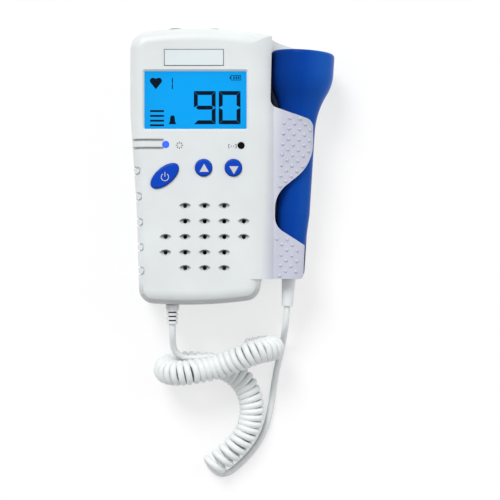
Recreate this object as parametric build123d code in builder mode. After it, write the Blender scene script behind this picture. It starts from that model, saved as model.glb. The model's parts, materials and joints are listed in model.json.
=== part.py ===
"""Hand-held fetal doppler with a pull-out ultrasound probe and a curly cord.

The device lies on its flat back. +Z points out of the front face, +Y to the top end and +X to the
probe's side. The origin is on the flat back, under the middle of the case. All sizes are in mm.
"""

import math
import os

from build123d import *

os.makedirs("parts", exist_ok=True)

# ---- Case -------------------------------------------------------------------------------------
DEPTH = 34.0  # flat back to flat front
PARTING_Z = 17.0  # plane between the two shells
WALL = 2.2
FRONT_EDGE_R = 6.5
BACK_EDGE_R = 2.5
FAR = 80.0  # beyond every side of the case
FIT = 0.2  # all-round clearance of a piece in its opening
CUT = 1.0  # how far a cut runs past the surface that it opens
ROOT = 0.5  # how deep a rib or pillar is set into its wall
TOP_LEFT = (-49.4, 64.8)
TOP_CROWN = (-17.0, 67.6)
TOP_RIGHT = (34.4, 60.3)
BOTTOM_LEFT = (-45.0, -65.0)
BOTTOM_CROWN = (-22.0, -66.2)
BOTTOM_RIGHT = (12.6, -63.4)
GRIP_TOP = (-49.4, 27.0)  # the left side narrows between these two
GRIP_BOTTOM = (-46.3, -19.5)
GRIP_R = 120.0
CORNER_R = 9.0
LOWER_CORNER_R = 7.4

# ---- Probe and its holster --------------------------------------------------------------------
PROBE_TOP = (34.6, 56.9)  # centre of the probe's face
PROBE_TILT = 3.6  # degrees that its axis leans to +X
PROBE_Z = 18.5
HEAD_R = 15.5
HEAD_LENGTH = 9.8
FLARE_LENGTH = 29.0
FLARE_SHARE = 0.66  # share of the flare that curves inwards
STEM_R = 8.2
STEM_LENGTH = 40.2  # straight stretch below the flare
TAIL_R = 6.2
TAIL_LENGTH = 25.2
PROBE_WALL = 1.6
HEAD_EDGE_R = 1.6
CAP_LENGTH = 9.6
LENS_R = 13.4
LENS_THICK = 1.8
LENS_CROWN = 0.3
LENS_LEDGE = 1.2  # width of the cap's ledge under the lens
LEDGE_THICK = 0.6
CRYSTAL_R = 11.5
CRYSTAL_THICK = 3.2
CRYSTAL_SPLIT = 0.8
BACKING_R = 12.4
BACKING_THICK = 6.4
STACK_GAP = 0.1
PROBE_BOARD = (12.6, 52.0, 1.2)
PROBE_BOARD_TOP = -30.8
BORE_CLEARANCE = 0.4
MOUTH_HEIGHT = 30.0  # the holster's bore runs on this far above the probe's face
HOLSTER_WALL = 1.8
HOLSTER_REACH = 7.6  # how far the holster wraps past the probe's axis
HOLSTER_BOTTOM = -53.7
CUP_FLOOR = 2.3
CORD_SLOT_R = 4.3
HOLSTER_TOP = 34.0
TRAY_TOP = 52.3  # the back runs out straight beside the probe up to here
TRAY_CORNER_R = 4.0
BLOCK_TOP = 54.0  # the front shell is filled out to the probe up to here
SLOPE_START = 9.0  # the flat front rolls down to the holster from here
SLOPE_R = 14.2
SLOPE_ANGLE = 44.0
CAVITY_RIGHT = 17.5  # the front shell is solid beside the probe from here

# The curved edge of the front shell beside the probe, from the top end down, with its radii.
MOUTH_EDGE = [
    (19.6, 80.0), (18.4, 30.3), (39.2, 23.0), (39.2, 2.2), (20.6, -12.7), (20.6, -28.2), (35.1, -37.4),
    (34.3, HOLSTER_BOTTOM), (CAVITY_RIGHT, HOLSTER_BOTTOM),
]
MOUTH_RADII = [4.0, 4.5, 21.0, 15.0, 8.0, 1.5, 1.8]

# ---- Display ----------------------------------------------------------------------------------
WINDOW_CENTRE = (-17.65, 32.4)
WINDOW_SIZE = (49.2, 27.8)
WINDOW_R = 0.6
WINDOW_SUNK = 0.9
WINDOW_BEVEL = 0.8
WINDOW_FLANGE = 0.5
WINDOW_FLANGE_THICK = 0.8
PANEL_THICK = 2.0
BACKLIGHT_THICK = 3.2
NAMEPLATE_CENTRE = (-18.35, 52.8)
NAMEPLATE_SIZE = (28.5, 7.8)
NAMEPLATE_THICK = 0.6
NAMEPLATE_PROUD = 0.15
FRAME_RIM = 2.0

# ---- Controls ---------------------------------------------------------------------------------
POWER_CENTRE = (-32.35, -4.1)
POWER_SIZE = (16.2, 8.1)
POWER_ANGLE = 40.0
UP_CENTRE = (-13.7, -0.2)
DOWN_CENTRE = (0.6, -0.2)
BUTTON_R = 4.1
BUTTON_PROUD = 1.3
BUTTON_EDGE_R = 0.9
BUTTON_TRAVEL = 0.6
BUTTON_SKIRT = 0.9
SKIRT_THICK = 1.2
STEM_FOOT_R = 1.5
POWER_LED = (-31.9, 11.0)
CHARGE_LED = (4.3, 10.5)
LED_R = 1.65
LED_PROUD = 0.35
LED_FLANGE = 0.7
LINE_WIDTH = 0.8  # of the engraved lines
GROOVE_Y = [13.25, 9.35]
GROOVE_END = -33.2
NOTCH_HEIGHT = 4.1
NOTCH_REACH = 3.6
LINE_DEPTH = 0.9
NOTCH_Y = [-1.6, -14.0, -26.3, -38.4, -49.7]
NOTCH_BOTTOM_Z = 7.0

# ---- Speaker ----------------------------------------------------------------------------------
SPEAKER_CENTRE = (-13.2, -33.4)
SPEAKER_R = 18.0
RIM_INNER_R = 15.6
BASKET_SHARE = 0.547  # share of the speaker's depth that is its basket
SPEAKER_CLEARANCE = 1.2  # between the magnet and the battery bay
BASKET_SHEET = 1.2
BASKET_FLOOR_R = 10.4
CONE_R = 15.3
CONE_SHEET = 0.6
DUST_CAP = 2.4  # height of the cone's middle above the basket's floor
MAGNET_NECK_R = 5.5
MAGNET_R = 9.5
GRILLE_PITCH = (9.4, 7.48)
GRILLE_ROWS = [(-1, 0, 1), (-1, 0, 1, 2), (-2, -1, 0, 1, 2), (-2, -1, 0, 1), (-1, 0, 1)]
GRILLE_HOLE_R = 1.0
DISH_LENGTH = 6.4
DISH_DEPTH = 1.3
DISH_LIFT = 0.2  # how far the scoops' axis is above the front
GASKET_THICK = 0.5

# ---- Boards and sockets -----------------------------------------------------------------------
BOARD_Z = 19.6
BOARD_THICK = 1.6
BOARD_BLOCKS = [(-44.2, 12.2, -10.0, 52.0), (-38.0, 4.0, 52.0, 60.5)]  # left, right, bottom, top
POST_R = 2.5
BOSS_R = 3.0
SCREW_R = 1.3
SCREW_LENGTH = 22.0
SCREW_HEAD_R = 2.3
SCREW_HEAD = 2.0
SCREW_SUNK = 0.5
SLOT_WIDTH = 0.6
SLOT_DEPTH = 0.8
PILOT_DEPTH = 8.0
BOARD_SCREW_R = 0.9
BOARD_SCREW_DEPTH = 6.0
BOARD_HEAD_R = 1.9
BOARD_HEAD = 1.2
BOSSES = [(-42.5, 58.0), (8.5, 57.0), (-41.2, -58.4), (6.0, -57.5)]
POSTS = [(-41.0, 49.6), (9.0, 49.6), (-41.0, -6.0), (9.0, -6.0)]
SWITCH_SIDE = 6.0
SWITCH_HEIGHT = 3.5
SWITCH_CAP_R = 1.75
SWITCH_CAP_HEIGHT = 1.2
CHIP_SIZE = (3.2, 1.8, 1.1)
SWITCH_GAP = 0.05  # left between stem and switch at full press
DC_JACK_X = -27.0
EAR_JACK_X = -9.0
JACK_Z = 24.7
DC_BORE_R = 2.75
EAR_BORE_R = 1.8
DC_PIN_R = 0.65
DC_JACK_SIDE = 9.0
EAR_JACK_SIDE = 7.5
JACK_LENGTH = 12.0
JACK_FLOOR = 1.5  # left at the inner end of a jack's bore
NOSE_WALL = 1.1
NOSE_PROUD = 0.2
JACK_SETBACK = 0.6  # from the end wall to the jack's block

# ---- Batteries --------------------------------------------------------------------------------
CELL_R = 7.25
CELL_LENGTH = 50.5
CELL_PITCH = 15.0
BAY_X = -20.0
BAY_BOTTOM = -57.6
BAY_WIDTH = 30.6
BAY_WALL = 1.4
DOOR_SUNK = 0.3
DOOR_THICK = 2.1
DOOR_WIDTH = 34.0
DOOR_TONGUE = 1.0
DOOR_LIP = 1.0  # thickness of the door below its tongues
DOOR_FIT = 0.15
DOOR_END = -64.0
DOOR_OVERLAP = 2.6  # how far the door covers the floor past the bay's upper end
DOOR_FRAME = 3.0  # the thicker floor reaches this far past the door
DOOR_FRAME_THICK = 1.6
THUMB_RIBS = 4
THUMB_RIB = (14.0, 0.9, 1.6)
THUMB_RIB_PITCH = 2.2
THUMB_RIBS_Y = 12.0
BAY_ROOF = 1.4
CONTACT_THICK = 0.5
CONTACT_TIP = 1.25
CONTACT_REACH = 5.5
CONTACT_TIP_R = 2.2
CELL_END = 0.6  # height of the round nub on each end of a cell
CELL_END_R = 2.6

# ---- Plug and cord ----------------------------------------------------------------------------
PLUG_X = -29.2
PLUG_Z = 23.6
PLUG_R = 3.3
PLUG_LENGTH = 2.2
PLUG_EDGE = 0.3
PLUG_PIN_R = 1.75
PLUG_PIN_LENGTH = 12.0
PIN_TIP_GAP = 0.5
PIN_GROOVE = 0.8
SLEEVE_R = 2.85
SLEEVE_LENGTH = 8.0
RIB_TAPER = 0.12
RIB_DEPTH = 0.8
RIB_SHARE = 0.65  # share of its pitch that a rib fills
SOCKET_SIDE = 9.0
SOCKET_LENGTH = 13.5
SOCKET_PAD = 0.1
SLEEVE_RIBS = 4
CORD_R = 1.6
COIL_R = 6.25
RELIEF_R = 3.8
RELIEF_NECK_R = 3.2
RELIEF_TIP_R = 2.7
RELIEF_LENGTH = 20.0
RELIEF_FLANGE_R = 4.3
RELIEF_FLANGE = 1.4

FRONT_INSIDE = DEPTH - WALL
BOARD_TOP = BOARD_Z + BOARD_THICK
DOOR_TOP_Z = DOOR_SUNK + DOOR_THICK
STACK_LENGTH = CELL_LENGTH + 2 * (STACK_GAP + CONTACT_TIP + CONTACT_THICK)
BAY_TOP = BAY_BOTTOM + STACK_LENGTH
BAY_CEILING = DOOR_TOP_Z + 2 * CELL_R + 3 * FIT
BAY_ROOF_TOP = BAY_CEILING + BAY_ROOF
DOOR_TOP = BAY_TOP + DOOR_OVERLAP
SPEAKER_DEPTH = FRONT_INSIDE - BAY_ROOF_TOP - SPEAKER_CLEARANCE - GASKET_THICK
BASKET_DEPTH = BASKET_SHARE * SPEAKER_DEPTH
MAGNET_THICK = SPEAKER_DEPTH - BASKET_DEPTH - BASKET_SHEET
NAMEPLATE_Z = DEPTH - NAMEPLATE_THICK + NAMEPLATE_PROUD
TILT = math.radians(PROBE_TILT)
# The probe's own plane: x across the probe, y up its axis, z out of the front face.
PROBE_PLANE = Plane(
    origin=(*PROBE_TOP, PROBE_Z), x_dir=(math.cos(TILT), -math.sin(TILT), 0), z_dir=(0, 0, 1)
)
STEM_TOP = -(HEAD_LENGTH + FLARE_LENGTH)
TAIL_TOP = STEM_TOP - STEM_LENGTH
TAIL_END = TAIL_TOP - TAIL_LENGTH
PROBE_AXIS = Axis(PROBE_PLANE.origin, PROBE_PLANE.y_dir)
# The plane of the probe's face: its normal runs down the probe.
FACE_PLANE = Plane(PROBE_PLANE.origin, x_dir=PROBE_PLANE.x_dir, z_dir=-PROBE_PLANE.y_dir)
BORE_R = STEM_R + BORE_CLEARANCE
BORE_END = (HOLSTER_BOTTOM + CUP_FLOOR - PROBE_TOP[1]) / math.cos(TILT)


def axis_x(y):
    """Where the probe's axis is, seen from the front, at a height y."""
    return PROBE_TOP[0] + (y - PROBE_TOP[1]) * math.tan(TILT)


def save(piece, name):
    piece.label = name
    export_step(piece, f"parts/{name}.step")


# ---- Forms that several pieces share ----------------------------------------------------------


def main_plan(inset=0.0, round_right=True):
    """The outline of the case beside the holster, seen from the front."""
    with BuildSketch(mode=Mode.PRIVATE) as plan:
        with BuildLine():
            ThreePointArc(TOP_LEFT, TOP_CROWN, TOP_RIGHT)
            Line(TOP_RIGHT, BOTTOM_RIGHT)
            ThreePointArc(BOTTOM_RIGHT, BOTTOM_CROWN, BOTTOM_LEFT)
            Polyline(BOTTOM_LEFT, GRIP_BOTTOM, GRIP_TOP, TOP_LEFT)
        make_face()
        for corner, radius in [
            (TOP_LEFT, CORNER_R),
            (BOTTOM_LEFT, LOWER_CORNER_R),
            (BOTTOM_RIGHT, LOWER_CORNER_R),
            (GRIP_TOP, GRIP_R),
            (GRIP_BOTTOM, GRIP_R),
            (TOP_RIGHT, CORNER_R if round_right else 0),
        ]:
            if radius:
                fillet(plan.vertices().sort_by_distance(corner)[0], radius)
        if inset:
            offset(amount=-inset)
    return plan.sketch


def rear_plan(inset=0.0):
    """The outline of the whole back: the main plan and the tray under the probe."""
    low = (axis_x(HOLSTER_BOTTOM) + HOLSTER_REACH, HOLSTER_BOTTOM)
    high = (axis_x(TRAY_TOP) + HOLSTER_REACH, TRAY_TOP)
    with BuildSketch(mode=Mode.PRIVATE) as plan:
        add(main_plan(round_right=False))
        with BuildLine():
            Polyline((0, HOLSTER_BOTTOM), low, high, TOP_RIGHT, (0, high[1]), close=True)
        make_face()
        for corner in (low, high, TOP_RIGHT):
            fillet(plan.vertices().sort_by_distance(corner)[0], TRAY_CORNER_R)
        if inset:
            offset(amount=-inset)
    return plan.sketch


def turned(profile_r, low, high, grow):
    """Half the probe's outline, grown by grow, from low to high along its axis, as a face."""
    head_foot, stem_top = (HEAD_R + grow, -HEAD_LENGTH), (STEM_R + grow, STEM_TOP)
    turn = tuple(s + FLARE_SHARE * (h - s) for s, h in zip(stem_top, head_foot))
    with BuildSketch(mode=Mode.PRIVATE) as half:
        with BuildLine():
            Polyline((0, high), (HEAD_R + grow, high), head_foot)
            TangentArc(head_foot, turn, tangent=(0, -1))
            TangentArc(stem_top, turn, tangent=(0, 1))
            Polyline(stem_top, *profile_r, (0, low), (0, high))
        make_face()
    return half.sketch


def probe_bore(grow, low=BORE_END, high=MOUTH_HEIGHT):
    """The straight bore and flared mouth that the probe slides in, grown by grow."""
    half = turned([(STEM_R + grow, low)], low, high, grow)
    with BuildPart(mode=Mode.PRIVATE) as bore:
        with BuildSketch(PROBE_PLANE):
            add(half)
        revolve(axis=PROBE_AXIS)
    return bore.part


def probe_body(grow, top=0.0):
    """The probe's own outer form with its tapered tail, grown by grow."""
    half = turned([(STEM_R + grow, TAIL_TOP), (TAIL_R + grow, TAIL_END - grow)], TAIL_END - grow, top, grow)
    with BuildPart(mode=Mode.PRIVATE) as body:
        with BuildSketch(PROBE_PLANE):
            add(half)
        revolve(axis=PROBE_AXIS)
    return body.part


def front_form(inset=0.0):
    """The front half's solid form: rounded edges, and the roll down to the holster deck."""
    top = DEPTH - inset
    arc_centre = (SLOPE_START, DEPTH - SLOPE_R)
    angle = math.radians(SLOPE_ANGLE)
    roll = SLOPE_R - inset
    roll_end = (arc_centre[0] + roll * math.sin(angle), arc_centre[1] + roll * math.cos(angle))
    deck_z = PROBE_Z + BORE_R + HOLSTER_WALL - inset
    deck_start = roll_end[0] + (roll_end[1] - deck_z) / math.tan(angle)
    bottom = HOLSTER_BOTTOM + inset
    with BuildPart(mode=Mode.PRIVATE) as form:
        with BuildSketch(Plane.XY.offset(PARTING_Z)):
            add(main_plan(inset))
        extrude(amount=top - PARTING_Z)
        fillet(form.faces().sort_by(Axis.Z)[-1].edges(), FRONT_EDGE_R - inset)
        with BuildSketch(Plane.XY.offset(PARTING_Z)):
            with BuildLine():
                Polyline(
                    (0, bottom), (axis_x(bottom), bottom), (axis_x(BLOCK_TOP), BLOCK_TOP), (0, BLOCK_TOP),
                    close=True,
                )
            make_face()
        extrude(amount=top - PARTING_Z)
        with BuildSketch(Plane.XZ):
            with BuildLine():
                ThreePointArc(
                    (SLOPE_START, top),
                    (arc_centre[0] + roll * math.sin(angle / 2), arc_centre[1] + roll * math.cos(angle / 2)),
                    roll_end,
                )
                Polyline(
                    roll_end, (deck_start, deck_z), (FAR, deck_z), (FAR, DEPTH + CUT),
                    (SLOPE_START, DEPTH + CUT), (SLOPE_START, top),
                )
            make_face()
        extrude(amount=FAR, both=True, mode=Mode.SUBTRACT)
    return form.part


def stadium(left, right, y, width, bottom, top):
    """An upright slot with a round right-hand end, open to the left side."""
    with BuildPart(mode=Mode.PRIVATE) as slot:
        with BuildSketch(Plane.XY.offset(bottom)):
            with Locations(((left + right - width / 2) / 2, y)):
                Rectangle(right - width / 2 - left, width)
            with Locations((right - width / 2, y)):
                Circle(width / 2)
        extrude(amount=top - bottom)
    return slot.part


def slot_line(left, right, y, bottom, top):
    """The engraved line round a notch."""
    width = NOTCH_HEIGHT - 2 * LINE_WIDTH
    inner = stadium(left - CUT, right - LINE_WIDTH, y, width, bottom - CUT, top + CUT)
    return stadium(left, right, y, NOTCH_HEIGHT, bottom, top) - inner


def left_edge(y):
    """Where the case's left side is at a height y, below the top of the grip."""
    low, high = (BOTTOM_LEFT, GRIP_BOTTOM) if y < GRIP_BOTTOM[1] else (GRIP_BOTTOM, GRIP_TOP)
    return low[0] + (y - low[1]) / (high[1] - low[1]) * (high[0] - low[0])


def box(x0, x1, y0, y1, z0, z1):
    """An upright block between two corners."""
    with BuildPart(Plane((x0, y0, z0)), mode=Mode.PRIVATE) as block:
        Box(x1 - x0, y1 - y0, z1 - z0, align=(Align.MIN, Align.MIN, Align.MIN))
    return block.part


def block(x0, x1, y0, y1, z0, z1, mode=Mode.ADD):
    """The same block, joined to or cut from the piece that is being built."""
    with Locations((x0, y0, z0)):
        Box(x1 - x0, y1 - y0, z1 - z0, align=(Align.MIN, Align.MIN, Align.MIN), mode=mode)


def rod(x, y0, y1, z, radius, mode=Mode.ADD):
    """A cylinder along Y, joined to or cut from the piece that is being built."""
    with Locations(Location((x, (y0 + y1) / 2, z), (90, 0, 0))):
        Cylinder(radius, y1 - y0, mode=mode)


def pillars(places, radius, z0, z1, mode=Mode.ADD):
    """Upright cylinders at several places, joined to or cut from the piece that is being built."""
    with Locations(*[(x, y, z0) for x, y in places]):
        Cylinder(radius, z1 - z0, align=(Align.CENTER, Align.CENTER, Align.MIN), mode=mode)


def cord_opening():
    """The hole in the cup's floor, open to the right, that the cord runs through."""
    with BuildPart(mode=Mode.PRIVATE) as slot:
        with BuildSketch(FACE_PLANE):
            Circle(CORD_SLOT_R)
            with Locations((FAR / 2, 0)):
                Rectangle(FAR, 2 * CORD_SLOT_R)
        extrude(amount=RELIEF_LENGTH - TAIL_END)
    floor = HOLSTER_BOTTOM + CUP_FLOOR
    return slot.part & box(-FAR, FAR, HOLSTER_BOTTOM - CUT, floor + CUT, 0, DEPTH)


bore = probe_bore(BORE_CLEARANCE)
bore_wall = probe_bore(BORE_CLEARANCE + HOLSTER_WALL, low=BORE_END - WALL)
floor_opening = cord_opening()
button_plans = {
    "power": (POWER_CENTRE, POWER_ANGLE, POWER_SIZE[0] / 2, POWER_SIZE[1] / 2),
    "up": (UP_CENTRE, 0, BUTTON_R, BUTTON_R),
    "down": (DOWN_CENTRE, 0, BUTTON_R, BUTTON_R),
}


def button_sketch(name, grow, z):
    """A button's outline, grown by grow, on the plane at z."""
    centre, angle, long_r, short_r = button_plans[name]
    with BuildSketch(Plane.XY.offset(z), mode=Mode.PRIVATE) as outline:
        with Locations(Location((*centre, 0), (0, 0, angle))):
            if long_r == short_r:
                Circle(long_r + grow)
            else:
                Ellipse(long_r + grow, short_r + grow)
    return outline.sketch


def grille_places():
    """Centres of the speaker holes, row by row from the top."""
    for row, columns in enumerate(GRILLE_ROWS):
        for column in columns:
            yield (
                SPEAKER_CENTRE[0] + column * GRILLE_PITCH[0],
                SPEAKER_CENTRE[1] + (len(GRILLE_ROWS) // 2 - row) * GRILLE_PITCH[1],
            )


def grille_dish(x, y):
    """An eye-shaped scoop: an arc turned about a chord just above the front face."""
    half = DISH_LENGTH / 2
    chord = (x, y, DEPTH + DISH_LIFT)
    with BuildPart(mode=Mode.PRIVATE) as dish:
        with BuildSketch(Plane(chord, x_dir=(1, 0, 0), z_dir=(0, -1, 0))):
            with BuildLine():
                ThreePointArc((-half, 0), (0, -DISH_DEPTH - DISH_LIFT), (half, 0))
                Line((half, 0), (-half, 0))
            make_face()
        revolve(axis=Axis(chord, (1, 0, 0)))
    return dish.part


# ---- Front shell ------------------------------------------------------------------------------
with BuildPart() as mouth_region:
    with BuildSketch(Plane.XY.offset(PARTING_Z)):
        with BuildLine():
            FilletPolyline(*MOUTH_EDGE, radius=MOUTH_RADII)
            Polyline(MOUTH_EDGE[-1], (MOUTH_EDGE[-1][0], -FAR), (-FAR, -FAR), (-FAR, FAR), MOUTH_EDGE[0])
        make_face()
    extrude(amount=DEPTH)

holster = probe_bore(BORE_CLEARANCE + HOLSTER_WALL, low=BORE_END - 2 * WALL)
with BuildPart() as holster_front:
    add(holster)
    add(box(0, FAR, HOLSTER_BOTTOM, HOLSTER_TOP, PARTING_Z, DEPTH), mode=Mode.INTERSECT)

inside_form = front_form(WALL)
with BuildPart() as front_cavity:
    add(inside_form)
    add(box(-FAR, CAVITY_RIGHT, -FAR, FAR, PARTING_Z, DEPTH), mode=Mode.INTERSECT)
    add(bore_wall, mode=Mode.SUBTRACT)

# The lines round the grip's notches and the two lines to the power light are engraved to one depth.
notches = [
    slot_line(left_edge(y) - CUT, left_edge(y) + NOTCH_REACH, y, NOTCH_BOTTOM_Z, DEPTH + CUT)
    for y in NOTCH_Y
]
grooves = [stadium(-FAR, GROOVE_END, y, LINE_WIDTH, PARTING_Z, DEPTH + CUT) for y in GROOVE_Y]
line_core = front_form(LINE_DEPTH)
outer_form = front_form()
dishes = [grille_dish(x, y) for x, y in grille_places()]
button_holes = [button_sketch(name, FIT, FRONT_INSIDE - CUT) for name in button_plans]

with BuildPart() as front_shell:
    add(outer_form)
    add(holster_front.part)
    add(mouth_region.part, mode=Mode.INTERSECT)
    add(front_cavity.part, mode=Mode.SUBTRACT)
    pillars(BOSSES, BOSS_R, PARTING_Z, FRONT_INSIDE + ROOT)
    add(bore, mode=Mode.SUBTRACT)
    add(floor_opening, mode=Mode.SUBTRACT)
    for line in notches + grooves:
        add(line - line_core, mode=Mode.SUBTRACT)
    # Window, buttons and indicators pass through the front wall.
    with BuildSketch(Plane.XY.offset(FRONT_INSIDE - CUT)):
        with Locations(WINDOW_CENTRE):
            RectangleRounded(*WINDOW_SIZE, WINDOW_R)
        for hole in button_holes:
            add(hole)
    extrude(amount=WALL + 2 * CUT, mode=Mode.SUBTRACT)
    with BuildSketch(Plane.XY.offset(DEPTH - WINDOW_BEVEL)):
        with Locations(WINDOW_CENTRE):
            RectangleRounded(*WINDOW_SIZE, WINDOW_R)
    extrude(amount=WINDOW_BEVEL, taper=-45, mode=Mode.SUBTRACT)
    with BuildSketch(Plane.XY.offset(NAMEPLATE_Z)):
        with Locations(NAMEPLATE_CENTRE):
            Rectangle(NAMEPLATE_SIZE[0] + FIT, NAMEPLATE_SIZE[1] + FIT)
    extrude(amount=DEPTH - NAMEPLATE_Z, mode=Mode.SUBTRACT)
    pillars([POWER_LED, CHARGE_LED], LED_R + FIT / 2, FRONT_INSIDE - CUT, DEPTH + CUT, Mode.SUBTRACT)
    for dish in dishes:
        add(dish, mode=Mode.SUBTRACT)
    pillars(list(grille_places()), GRILLE_HOLE_R, FRONT_INSIDE - CUT, DEPTH, Mode.SUBTRACT)
    # Holes for the plug's socket at the bottom end and the two jacks at the top end.
    rod(PLUG_X, BOTTOM_CROWN[1] - CUT, BOTTOM_CROWN[1] + 2 * WALL, PLUG_Z, PLUG_R + FIT, Mode.SUBTRACT)
    for x, bore_r in [(DC_JACK_X, DC_BORE_R), (EAR_JACK_X, EAR_BORE_R)]:
        rod(x, TOP_CROWN[1] - 2 * WALL, TOP_CROWN[1] + CUT, JACK_Z, bore_r + NOSE_WALL + FIT, Mode.SUBTRACT)
    pillars(BOSSES, SCREW_R, PARTING_Z - CUT, PARTING_Z + PILOT_DEPTH, Mode.SUBTRACT)
save(front_shell.part, "front_shell")

# ---- Rear shell -------------------------------------------------------------------------------
bay_left, bay_right = BAY_X - BAY_WIDTH / 2, BAY_X + BAY_WIDTH / 2
door_left, door_right = BAY_X - DOOR_WIDTH / 2, BAY_X + DOOR_WIDTH / 2
inside_plan = rear_plan(WALL)
outside_plan = rear_plan()
notch_plan = main_plan(LINE_DEPTH)
with BuildPart() as rear_cavity:
    with BuildSketch(Plane.XY.offset(WALL)):
        add(inside_plan)
    extrude(amount=DEPTH)
    add(bore_wall, mode=Mode.SUBTRACT)
with BuildPart() as rear_core:
    with BuildSketch():
        add(notch_plan)
    extrude(amount=DEPTH + CUT)

with BuildPart() as rear_shell:
    with BuildSketch():
        add(outside_plan)
    extrude(amount=PARTING_Z)
    fillet(rear_shell.faces().sort_by(Axis.Z)[0].edges(), BACK_EDGE_R)
    add(rear_cavity.part, mode=Mode.SUBTRACT)
    # A thicker floor over the door, then the battery bay, bosses and board posts.
    block(door_left - DOOR_FRAME, door_right + DOOR_FRAME, BAY_BOTTOM - DOOR_FRAME, DOOR_TOP + DOOR_FRAME,
          WALL - ROOT, DOOR_TOP_Z + DOOR_FRAME_THICK)
    block(bay_left - BAY_WALL, bay_right + BAY_WALL, BAY_BOTTOM - BAY_WALL, BAY_TOP + BAY_WALL,
          WALL - ROOT, BAY_ROOF_TOP)
    pillars(BOSSES, BOSS_R, WALL - ROOT, PARTING_Z)
    pillars(POSTS, POST_R, WALL - ROOT, BOARD_Z)
    add(bore, mode=Mode.SUBTRACT)
    add(floor_opening, mode=Mode.SUBTRACT)
    block(bay_left, bay_right, BAY_BOTTOM, BAY_TOP, -CUT, BAY_CEILING, Mode.SUBTRACT)
    # The door slides in grooves that are open at the bottom end.
    block(door_left - DOOR_FIT, door_right + DOOR_FIT, -FAR, DOOR_TOP + DOOR_FIT,
          -CUT, DOOR_SUNK + DOOR_LIP, Mode.SUBTRACT)
    block(door_left - DOOR_TONGUE - DOOR_FIT, door_right + DOOR_TONGUE + DOOR_FIT, -FAR, DOOR_TOP + DOOR_FIT,
          DOOR_SUNK + DOOR_LIP - DOOR_FIT, DOOR_TOP_Z + DOOR_FIT, Mode.SUBTRACT)
    for notch in notches:
        add(notch - rear_core.part, mode=Mode.SUBTRACT)
    # Case screws come in from the back.
    pillars(BOSSES, SCREW_R + FIT, -CUT, PARTING_Z + CUT, Mode.SUBTRACT)
    pillars(BOSSES, SCREW_HEAD_R + FIT, -CUT, SCREW_SUNK + SCREW_HEAD, Mode.SUBTRACT)
    pillars(POSTS, BOARD_SCREW_R, BOARD_Z - BOARD_SCREW_DEPTH, BOARD_Z + CUT, Mode.SUBTRACT)
save(rear_shell.part, "rear_shell")

# ---- Battery door, cells and contacts ---------------------------------------------------------
with BuildPart() as battery_door:
    block(door_left, door_right, DOOR_END, DOOR_TOP, DOOR_SUNK, DOOR_TOP_Z)
    block(door_left - DOOR_TONGUE, door_right + DOOR_TONGUE, DOOR_END, DOOR_TOP,
          DOOR_SUNK + DOOR_LIP, DOOR_TOP_Z)
    with Locations((BAY_X, DOOR_END + THUMB_RIBS_Y, DOOR_SUNK)):
        with GridLocations(0, THUMB_RIB_PITCH, 1, THUMB_RIBS):
            Box(*THUMB_RIB, mode=Mode.SUBTRACT)
save(battery_door.part, "battery_door")

cell_z = DOOR_TOP_Z + FIT + CELL_R
cell_middle = (BAY_TOP + BAY_BOTTOM) / 2
cell_rows = (BAY_X - CELL_PITCH / 2, BAY_X + CELL_PITCH / 2)
with BuildPart() as battery_cells:
    for x in cell_rows:
        body_half = CELL_LENGTH / 2 - CELL_END
        rod(x, cell_middle - body_half, cell_middle + body_half, cell_z, CELL_R)
        rod(x, cell_middle - CELL_LENGTH / 2, cell_middle + CELL_LENGTH / 2, cell_z, CELL_END_R)
save(battery_cells.part, "battery_cells")

contact_half = CELL_PITCH / 2 + CONTACT_REACH
with BuildPart() as battery_contacts:
    upper_face, lower_face = BAY_TOP - CONTACT_THICK, BAY_BOTTOM + CONTACT_THICK
    cell_top, cell_bottom = cell_middle + CELL_LENGTH / 2, cell_middle - CELL_LENGTH / 2
    for y0, y1 in [(upper_face, BAY_TOP), (BAY_BOTTOM, lower_face)]:
        block(BAY_X - contact_half, BAY_X + contact_half, y0, y1,
              cell_z - CONTACT_REACH, cell_z + CONTACT_REACH)
    for x in cell_rows:
        rod(x, cell_top + STACK_GAP, upper_face, cell_z, CONTACT_TIP_R)
        rod(x, lower_face, cell_bottom - STACK_GAP, cell_z, CONTACT_TIP_R)
save(battery_contacts.part, "battery_contacts")

# ---- Screws -----------------------------------------------------------------------------------
with BuildPart() as case_screws:
    pillars(BOSSES, SCREW_HEAD_R, SCREW_SUNK, SCREW_SUNK + SCREW_HEAD)
    pillars(BOSSES, SCREW_R, SCREW_SUNK, SCREW_SUNK + SCREW_LENGTH)
    with Locations(*[(x, y, SCREW_SUNK) for x, y in BOSSES]):
        for cross in ((2 * SCREW_R, SLOT_WIDTH), (SLOT_WIDTH, 2 * SCREW_R)):
            Box(*cross, 2 * SLOT_DEPTH, mode=Mode.SUBTRACT)
save(case_screws.part, "case_screws")

with BuildPart() as board_screws:
    pillars(POSTS, BOARD_HEAD_R, BOARD_TOP, BOARD_TOP + BOARD_HEAD)
    pillars(POSTS, BOARD_SCREW_R, BOARD_Z - BOARD_SCREW_DEPTH + CUT, BOARD_TOP + ROOT)
    with Locations(*[(x, y, BOARD_TOP + BOARD_HEAD) for x, y in POSTS]):
        Box(2 * SCREW_R, SLOT_WIDTH, SLOT_DEPTH, mode=Mode.SUBTRACT)
save(board_screws.part, "board_screws")

# ---- Display ----------------------------------------------------------------------------------
display_size = [side + 2 * WINDOW_FLANGE for side in WINDOW_SIZE]
panel_top = FRONT_INSIDE - WINDOW_FLANGE_THICK
backlight_top = panel_top - PANEL_THICK
frame_top = backlight_top - BACKLIGHT_THICK


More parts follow.
